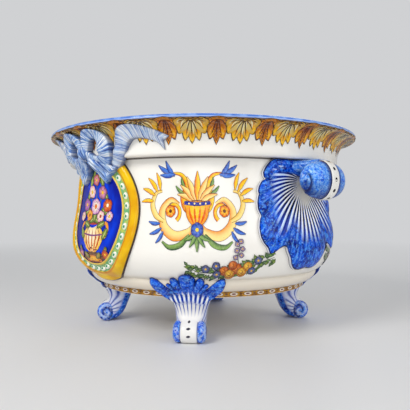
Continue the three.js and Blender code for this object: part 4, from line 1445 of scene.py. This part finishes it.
def ribbon(axis, side, stations, seed, steps, notch=0.0, lengthwise=False):
    """A ribbon in relief through stations of arc, height, stand-off, the way across, and width."""
    table = np.array([[*at, *across, width] for at, across, width in stations], float)
    run = splined(table, np.linspace(0, len(table) - 1, steps + 1))
    centre, cross, half = run[:, :3], run[:, 3:6], run[:, 6:] / 2
    cross = cross / np.linalg.norm(cross, axis=1)[:, None]
    flow = np.gradient(centre, axis=0)
    flow /= np.linalg.norm(flow, axis=1)[:, None]
    length = np.concatenate([[0], np.cumsum(np.linalg.norm(np.diff(centre, axis=0), axis=1))])
    lane = np.linspace(-1, 1, lane_count)
    cut_back = np.clip(np.linspace(0, 1, steps + 1) * 5 - 4, 0, 1)[:, None] * -notch * (1 - np.abs(lane))
    body = centre[:, None] + cross[:, None] * (half * lane)[..., None] + flow[:, None] * cut_back[..., None]
    if lengthwise:
        waves = np.cos(lane * 9 + seed)
    else:
        waves = np.sin(length / 1.9 + 1.3 * np.sin(length / 5 + seed))[:, None]
    face = body[..., 2] + 2.2 * (1 - lane**4) - 0.8 + 0.55 * waves * (1 - lane**2)
    under = body[..., :2] + cross[:, None, :2] * (0.5 * lane)[..., None]
    plan = np.concatenate([body[..., :2], under[:, ::-1]], axis=1)
    stand = np.concatenate([face, np.full(face.shape, -1.5)], axis=1)
    arc, z = plan[..., 0] * side, plan[..., 1]
    radius = np.interp(z, drape[:, 1], drape[:, 0]) + stand
    points = around(radius, math.radians(axis) + arc / bow_arc_radius, z)
    lanes = np.concatenate([lane, lane[::-1]])
    along, across = np.broadcast_to(length[:, None], arc.shape), half * lanes
    if lengthwise:
        along, across = across, along
    rim = np.clip(np.abs(lanes) * 8 - 7, 0, 1) * 0.6
    behind = np.arange(2 * lane_count) >= lane_count
    values = {
        "along": along, "across": across, "seed": np.full(arc.shape, float(seed)),
        "shade": np.broadcast_to(np.maximum(rim, behind), arc.shape),
    }
    return closed_skin(points, values)


loop_stations = [
    ((2, 190, 5), (-0.6, 0.8, 0), 7), ((5, 197, 7.5), (-1, 0.35, 0), 12), ((11, 204, 7), (-0.6, 1, 0), 10),
    ((22, 205.5, 6.5), (0.3, 1, 0), 8.5), ((30.5, 198.5, 8), (1, 0.55, 0), 15),
    ((31.5, 188, 8), (1, -0.15, 0), 16), ((26, 180.5, 6.5), (0.45, -1, 0), 13),
    ((15, 180, 6), (-0.1, -1, 0), 12), ((6, 185, 6), (-0.3, -1, 0), 11),
    ((2, 188, 6), (-0.3, -1, 0), 8),
]
streamer_stations = [
    ((35, 175, 3.6), (-0.5, 0.9, 0), 8), ((41.5, 181, 3.2), (-0.8, 0.6, 0), 10.5),
    ((48.5, 190, 3.2), (-0.95, 0.5, 0), 13.5),
    ((55, 200.5, 6), (-0.8, 0.8, 0), 15), ((64, 204.2, 5.4), (-0.1, 1, 0), 12),
    ((75, 203.6, 3), (0.1, 1, 0), 10.5),
    ((87, 200, 2.6), (0.1, 1, 0), 10), ((97, 193.5, 2.6), (0.35, 1, 0), 13),
]
tail_stations = [
    ((5, 181, 8), (0.9, 0.75, 0), 9), ((13, 175.5, 8.5), (0.85, 0.65, 0), 15),
    ((22, 170.5, 8), (0.8, 0.65, 0), 20), ((31, 166, 7.6), (0.8, 0.7, 0), 23),
]


def knot(axis):
    """The tied knot: a pleated, slightly waisted ball over the middle of the bow."""
    up = np.linspace(-math.pi / 2, math.pi / 2, 41)[1:-1, None]
    turn = full_turn(72)
    pleat = 1 + 0.06 * np.cos(turn * 12) * np.cos(up)
    stand = np.interp(knot_height, drape[:, 1], drape[:, 0]) + 5
    out = stand + 6.5 * pleat * np.cos(up) * np.cos(turn)
    across = 6.8 * pleat * np.cos(up) * np.sin(turn)
    z = knot_height + 7.6 * np.sin(up) + 0 * turn
    points = turned_to(axis, np.stack([out, across, z], axis=-1))
    values = {"along": 7 * np.sin(turn) + 0 * up, "across": z, "seed": 0 * z + knot_seed,
              "shade": np.clip(np.abs(np.sin(up)) * 1.6 - 0.9, 0, 1) + 0 * turn}
    return closed_skin(points, values)


sides = {"left": -1, "right": 1}
for face_name, axis in medallion_axes.items():
    bow = {"knot": knot(axis)}
    for side_name, side in sides.items():
        parts = {
            "loop": ribbon(axis, side, loop_stations, loop_seed + side, steps=110),
            "streamer": ribbon(axis, side, streamer_stations, streamer_seed + side, steps=100, notch=7),
            "tail": ribbon(axis, side, tail_stations, tail_seed + side, steps=44, notch=4, lengthwise=True),
        }
        bow.update((f"{part}_{side_name}", skin) for part, skin in parts.items())
    for part, skin in bow.items():
        whole_name = f"bow_{face_name}_{part}"
        fired(f"{whole_name}_glazed", [skin], ribbon_glaze, "pale_blue_glaze", whole_name)


# Painting inside the medallions
# A two-handled urn of flowers on a strip of ground, painted with a fine brush over the blue field in
# purple, red, white, orange and green, and fired into the glaze.
def place_on_field(axis):
    """Places painted points on a medallion's field, by arc and height."""
    def place(arc, z, lift):
        return round_pot(axis, arc, z, field_rise + lift)
    return place


def turned_points(points, centre, degrees):
    """Points turned round the origin, then moved to a centre."""
    a = math.radians(degrees)
    spin = np.array([[math.cos(a), math.sin(a)], [-math.sin(a), math.cos(a)]])
    return np.asarray(points, float) @ spin + np.array(centre, float)


def petals(brush, centre, count, reach, colours, heart, edge, turn=0.0):
    """A flower of round petals about a heart."""
    petal = (circle(12) * (0.55, 0.42) + (0, 0.62)) * reach
    for i in range(count):
        spin = turn + 360 * i / count
        outline = turned_points(petal, centre, -spin)
        middle = turned_points([(0, 0.2 * reach)], centre, -spin)[0]
        brush.patch(outline, middle, colours[1], colours[0], edge, edge_width=0.35, rings=2)
    brush.patch(circle(12) * reach * 0.28 + centre, centre, heart, heart, edge, edge_width=0.25, rings=1)


def leaf(brush, centre, degrees, length, colours, edge, lobes=3, vein=None, breadth=0.34):
    """A leaf with notched sides, from its stalk at the centre."""
    side = [(0, 0)]
    for i in range(lobes):
        at = (i + 0.6) / (lobes + 0.4)
        wide = breadth * math.sin(math.pi * min(1, at * 0.9 + 0.08))
        side += [(wide * 0.62, at - 0.12), (wide, at + 0.05)]
    side += [(0, 1.0)]
    side = np.array(side)
    outline = np.concatenate([side, (side * (-1, 1))[-2:0:-1]]) * length
    heart = turned_points([(0, 0.5 * length)], centre, degrees)[0]
    brush.patch(turned_points(outline, centre, degrees), heart, *colours, edge, edge_width=0.3, rings=2)
    if vein:
        rib = turned_points([(0, 0.08 * length), (0, 0.85 * length)], centre, degrees)
        brush.stroke(rib, 0.06 * length, vein, steps=4)


thin_layer = 0.003
ink = rgb(40, 22, 46)
plum, orchid, rose = rgb(120, 52, 120), rgb(196, 120, 196), rgb(226, 150, 176)
brick, flame, gold = rgb(172, 46, 24), rgb(228, 116, 22), rgb(246, 192, 48)
cream, moss, leaf_green = rgb(250, 240, 206), rgb(64, 84, 30), rgb(132, 160, 62)


def smooth_ring(points, steps=36):
    """A closed outline drawn smoothly through a few points."""
    points = [*points, points[0], points[1]]
    return smooth_path(points, steps)[:-max(1, round(steps / (len(points) - 1)))]


def bouquet(axis):
    """The urn on its ground, then its stems, leaves and flowers, painted from back to front."""
    brush = Brushwork(place_on_field(axis), lift=0.14, layer=thin_layer)
    ground = [(-27, 84), (-20, 81), (-8, 78.5), (8, 78.5), (20, 81), (27, 84), (18, 88), (0, 90), (-18, 88)]
    brush.patch(smooth_ring(ground), (0, 84), rgb(150, 92, 40), rgb(86, 48, 26), ink)
    base = [(-13, 80), (13, 80), (11, 84), (4, 86), (-4, 86), (-11, 84)]
    brush.patch(smooth_ring(base), (0, 83), gold, flame, ink)
    urn = [(4, 85), (4, 89), (11, 93), (17, 101), (18, 109), (14.5, 113), (12, 117), (15, 120), (15, 122.5)]
    urn = np.array(urn, float)
    body = np.concatenate([urn, (urn * (-1, 1))[::-1]])
    brush.patch(body, (-3, 105), cream, gold, ink, rings=4)
    for x in (-10.5, -5.5, 0, 5.5, 10.5):
        brush.stroke([(x * 0.35, 90), (x * 0.9, 97), (x * 1.18, 107), (x * 0.95, 113)], 2.0, flame, brick)
    brush.stroke([(-14, 119.6), (0, 118.6), (14, 119.6)], 2.6, brick, brick, taper=(0.9, 0.9))
    brush.stroke([(-17, 108), (0, 106.6), (17, 108)], 1.6, plum, plum, taper=(0.9, 0.9))
    for side in (-1, 1):
        handle = [(side * 14, 118), (side * 21, 119), (side * 24, 113), (side * 21.5, 106), (side * 16, 103)]
        brush.stroke(handle, 3.2, flame, gold, taper=(0.8, 0.6), edge=ink)
    stems = [(-24, 140), (-13, 152), (0, 160), (13, 152), (24, 140), (-30, 128), (30, 128)]
    for x, z in stems:
        stem = [(x * 0.12, 121), (x * 0.55, (121 + z) / 2 + 3), (x, z)]
        brush.stroke(stem, 1.4, leaf_green, moss, taper=(1, 0.7))
    greens = [(-31, 133, -70), (31, 133, 70), (-27, 147, -40), (27, 147, 40), (-17, 160, -22), (17, 160, 22),
              (-7, 166, -8), (8, 166, 10), (-26, 124, -112), (26, 124, 112), (-12, 124, -60), (12, 124, 60),
              (0, 124, 0), (-33, 118, -150), (33, 118, 150)]
    for x, z, bend in greens:
        leaf(brush, (x * 0.72, z - 4), bend, 13, (leaf_green, moss), ink, vein=rgb(214, 214, 120))
    blooms = [
        (-20, 138, 5, 6.8, (plum, orchid), gold), (20, 137, 5, 6.6, (brick, flame), cream),
        (-9, 151, 6, 6.6, (rose, cream), gold), (11, 150, 5, 6.8, (plum, rose), gold),
        (0, 136, 6, 8.2, (orchid, cream), flame), (-10, 127, 5, 5.6, (flame, gold), brick),
        (11, 126, 5, 5.6, (rose, cream), brick), (0, 163, 5, 5.6, (brick, rose), gold),
        (-25, 126, 5, 4.8, (rose, cream), gold), (25, 126, 5, 4.8, (orchid, cream), gold),
    ]
    for x, z, count, reach, shades, heart in blooms:
        petals(brush, (x, z), count, reach, shades, heart, ink, turn=x * 7 + z)
    for x, z, bend in ((-24, 96, 200), (24, 96, 160), (-15, 89, 240), (15, 89, 120)):
        leaf(brush, (x, z), bend, 10, (rgb(176, 150, 60), moss), ink)
    petals(brush, (-22, 88), 5, 4.4, (plum, orchid), gold, ink)
    petals(brush, (22, 88), 5, 4.4, (brick, flame), gold, ink)
    return brush


for name, axis in medallion_axes.items():
    settle(bouquet(axis).piece(f"medallion_{name}_bouquet"), brushed_paint, "white_glaze")


# Garlands and arabesques on the belly
# Each of the four panels between medallion and handle carries a scrolled arabesque in yellow, orange
# and cream with blue and green leaves, over a spray of fruit and leaves beside the foot's palmette.
sienna = rgb(104, 44, 14)
lemon, peach, coral = rgb(252, 208, 40), rgb(236, 136, 28), rgb(222, 70, 20)
ivory = rgb(254, 226, 142)
sky, cobalt, night = rgb(70, 124, 216), rgb(20, 42, 150), rgb(18, 22, 70)
sage, pine = rgb(132, 168, 84), rgb(32, 72, 44)
cup_height = 128
belly_lift, centrepiece_lift = 0.16, 0.52
turn_toward_handle = 4.5


def place_on_belly(axis, wide=1.0, tall=1.0):
    """Places paint on the belly by arc and height, drawn narrower or taller about the cup."""
    def place(arc, z, lift):
        return round_pot(axis, np.asarray(arc) * wide, cup_height + (np.asarray(z) - cup_height) * tall, lift)
    return place


def mirrored(points, side):
    """Points by arc and height, on one side of a panel's middle or the other."""
    return [(side * x, z) for x, z in points]


def shaded_band(brush, path, widths, light, dark, edge, steps):
    """A scroll with body: light along one side, dark along the other, over an outline."""
    brush.lift += 0.012
    path = smooth_path(path, steps)
    half = np.interp(np.linspace(0, 1, len(path)), np.linspace(0, 1, len(widths)), widths) / 2
    lanes = np.linspace(-1, 1, 5)
    tone = np.interp(lanes, (-1, -0.3, 0.5, 1), (0.15, 0, 0.55, 1))[:, None]
    brush.strip(path, half + 0.4, lanes, edge)
    brush.strip(path, half, lanes, np.array(light) * (1 - tone) + np.array(dark) * tone)


def spiral(centre, start, turns, radius, end_radius=1.2, steps=16):
    """Points on a spiral in from a start angle in degrees, turning by a number of turns."""
    t = np.linspace(0, 1, steps)
    a = np.radians(start + 360 * turns * t)
    r = radius + (end_radius - radius) * t
    return np.stack([centre[0] + r * np.cos(a), centre[1] + r * np.sin(a)], axis=-1)


def feather(brush, start, degrees, length, light, dark, edge, curl):
    """A long curved leaf, thin at both ends."""
    a, b = math.radians(degrees), math.radians(degrees + curl)
    middle = (start[0] + 0.55 * length * math.cos(a), start[1] + 0.55 * length * math.sin(a))
    end = (middle[0] + 0.48 * length * math.cos(b), middle[1] + 0.48 * length * math.sin(b))
    widths = [0.6, length * 0.24, length * 0.2, 0.3]
    shaded_band(brush, [start, middle, end], widths, light, dark, edge, steps=12)


def arabesque(brush, side):
    """One half of the ornament: an S-scroll, its curls and leaves, mirrored by its side."""
    brush.lift = belly_lift
    curls = (
        ([(2, 120), (10, 112), (24, 109), (36, 118), (38, 132), (29, 141), (20, 137)],
         [3, 7, 9, 8.5, 7, 5, 3], ivory, peach, sienna, 40),
        (spiral((27, 131), -120, -0.9, 9.5), [3.5, 3.2, 2.6, 2], lemon, coral, sienna, 30),
        ([(4, 128), (12, 133), (15, 143), (11, 154), (17, 163), (26, 165)],
         [3, 5.5, 6.5, 5, 3.5, 1.2], lemon, coral, sienna, 40),
        ([(36, 122), (45, 127), (50, 137), (46, 147), (39, 149)],
         [2.5, 5, 5, 3.5, 1.6], ivory, rgb(226, 176, 60), sienna, 26),
        ([(8, 110), (18, 101), (29, 99), (37, 104)], [2, 5, 4.5, 1.2], sage, pine, pine, 22),
    )
    for path, widths, light, dark, edge, steps in curls:
        shaded_band(brush, mirrored(path, side), widths, light, dark, edge, steps)
    plumes = (
        (14, (sky, cobalt, night), ((27, 164, 20, 18), (25, 162, 48, 17), (24, 164, -8, 17))),
        (-14, (lemon, peach, sienna),
         ((41, 150, 80, 16), (44, 148, 55, 17), (47, 145, 30, 16), (49, 140, 5, 14))),
        (16, (sky, cobalt, night), ((38, 116, -30, 14), (36, 113, -60, 13), (40, 120, 0, 13))),
        (18, (sage, pine, pine), ((14, 146, 30, 12), (13, 150, 62, 12))),
    )
    for curl, shades, places in plumes:
        for x, z, bend, size in places:
            feather(brush, (side * x, z), bend if side > 0 else 180 - bend, size, *shades, curl=side * curl)
    petals(brush, (side * 29, 131), 6, 5.2, (coral, lemon), sienna, sienna, turn=side * 12)


def centrepiece(brush):
    """The middle of the ornament: a palm of leaves over a gadrooned cup."""
    brush.lift = centrepiece_lift
    for bend in (-62, -42, -22, 0, 22, 42, 62):
        length = 27 - abs(bend) * 0.12
        light, dark = (lemon, coral) if bend % 44 == 0 else (ivory, peach)
        feather(brush, (bend * 0.05, 139), 90 - bend, length, light, dark, sienna, curl=-bend * 0.25)
    cup = [(0, 118), (6, 119.5), (11, 126), (12.5, 134), (15, 138), (0, 140.5), (-15, 138), (-12.5, 134),
           (-11, 126), (-6, 119.5)]
    brush.patch(smooth_ring(cup, 40), (-2, 130), lemon, peach, sienna, rings=4)
    for x in (-7.5, -2.6, 2.6, 7.5):
        brush.stroke([(x * 0.5, 120), (x, 128), (x * 1.2, 136)], 2.2, coral, flame)
    brush.stroke([(-14, 138.4), (0, 137.2), (14, 138.4)], 3, cobalt, cobalt, taper=(0.9, 0.9), edge=night)
    for x in (-9, -3, 3, 9):
        spot = (x, 137.7)
        brush.patch(circle(10) * 0.9 + spot, spot, ivory, ivory, rings=1)
    shaded_band(brush, [(0, 117), (-1, 110), (0, 101), (0, 95)], [4, 6, 4, 0.6], sage, pine, pine, steps=20)
    for bend in (-55, -28, 28, 55):
        feather(brush, (0, 112), -90 + bend, 15, sage, pine, pine, curl=bend * 0.3)
    petals(brush, (0, 114.5), 6, 6.2, (cobalt, sky), lemon, night)


def garland(brush, side):
    """A low spray of leaves, blue flowers and fruit that rises to one side."""
    stem = [(5, 77), (16, 73.5), (32, 73), (48, 75), (64, 79), (78, 83.5), (89, 87)]
    spine = smooth_path(stem, 26) * (side, 1)
    greens = ((sage, pine), (leaf_green, moss), (rgb(104, 136, 84), rgb(34, 54, 40)))
    random.seed(21)
    brush.stroke(spine, 0.8, pine, taper=(0.6, 0.4))
    for i, (x, z) in enumerate(spine):
        for flip in (-2, -1, 1, 2):
            lean, sway = (58, 38) if flip > 0 else (130, 34)
            bend = side * (lean + random.uniform(-sway, sway))
            root = (x + random.uniform(-2, 2), z + flip * 1.5)
            shades = greens[(i + flip) % 3]
            leaf(brush, root, bend, random.uniform(4.5, 7.5), shades, pine, lobes=1, breadth=0.26)
    fruits = ((38, 75, 4.6), (44, 71.5, 5.0), (50, 77, 5.4), (56, 73.5, 4.8), (46, 80.5, 4.2), (61, 79, 4.4))
    for i, (x, z, size) in enumerate(fruits):
        warm = (rgb(250, 204, 64), rgb(196, 110, 14)) if i % 2 else (rgb(240, 140, 44), rgb(150, 40, 22))
        skin = circle(18) * size + (side * x, z)
        brush.patch(skin, (side * (x - 1.4), z + 1.5), *warm, rgb(96, 48, 20), edge_width=0.35)
        seam = [(0, -size * 0.7), (size * 0.2, 0), (0, size * 0.7)]
        for bend in (-40, 0, 40):
            brush.stroke(turned_points(seam, (side * x, z), bend), 0.5, rgb(150, 70, 20), steps=4)
    for x, z in ((20, 77), (30, 80), (31, 71.5), (66, 74.5), (71, 84.5)):
        petals(brush, (side * x, z), 5, 3.7, (rgb(52, 56, 100), rgb(112, 126, 178)), gold, night, turn=x * 11)
    sprig = [(51, 83), (50, 90), (52, 97), (50.5, 104)]
    brush.stroke(mirrored(sprig, side), 0.6, pine, taper=(1, 0.6))
    mauve = (rgb(110, 84, 120), rgb(190, 170, 196))
    for x, z in ((48, 88), (53.5, 90), (49, 94.5), (54.5, 96), (49.5, 100.5), (53, 103)):
        petals(brush, (side * x, z), 4, 2.3, mauve, gold, night, turn=z * 31)


for name, axis in foot_axes.items():
    toward_handle = 1 if name in ("front_right", "back_left") else -1
    place = place_on_belly(axis + turn_toward_handle * toward_handle, wide=0.9, tall=1.05)
    painting = Brushwork(place, layer=thin_layer)
    arabesque(painting, 1)
    arabesque(painting, -1)
    centrepiece(painting)
    settle(painting.piece(f"panel_{name}_painting"), brushed_paint, "white_glaze")
    spray = Brushwork(place_on_belly(axis), lift=belly_lift, layer=thin_layer)
    garland(spray, toward_handle)
    settle(spray.piece(f"panel_{name}_garland"), brushed_paint, "white_glaze")
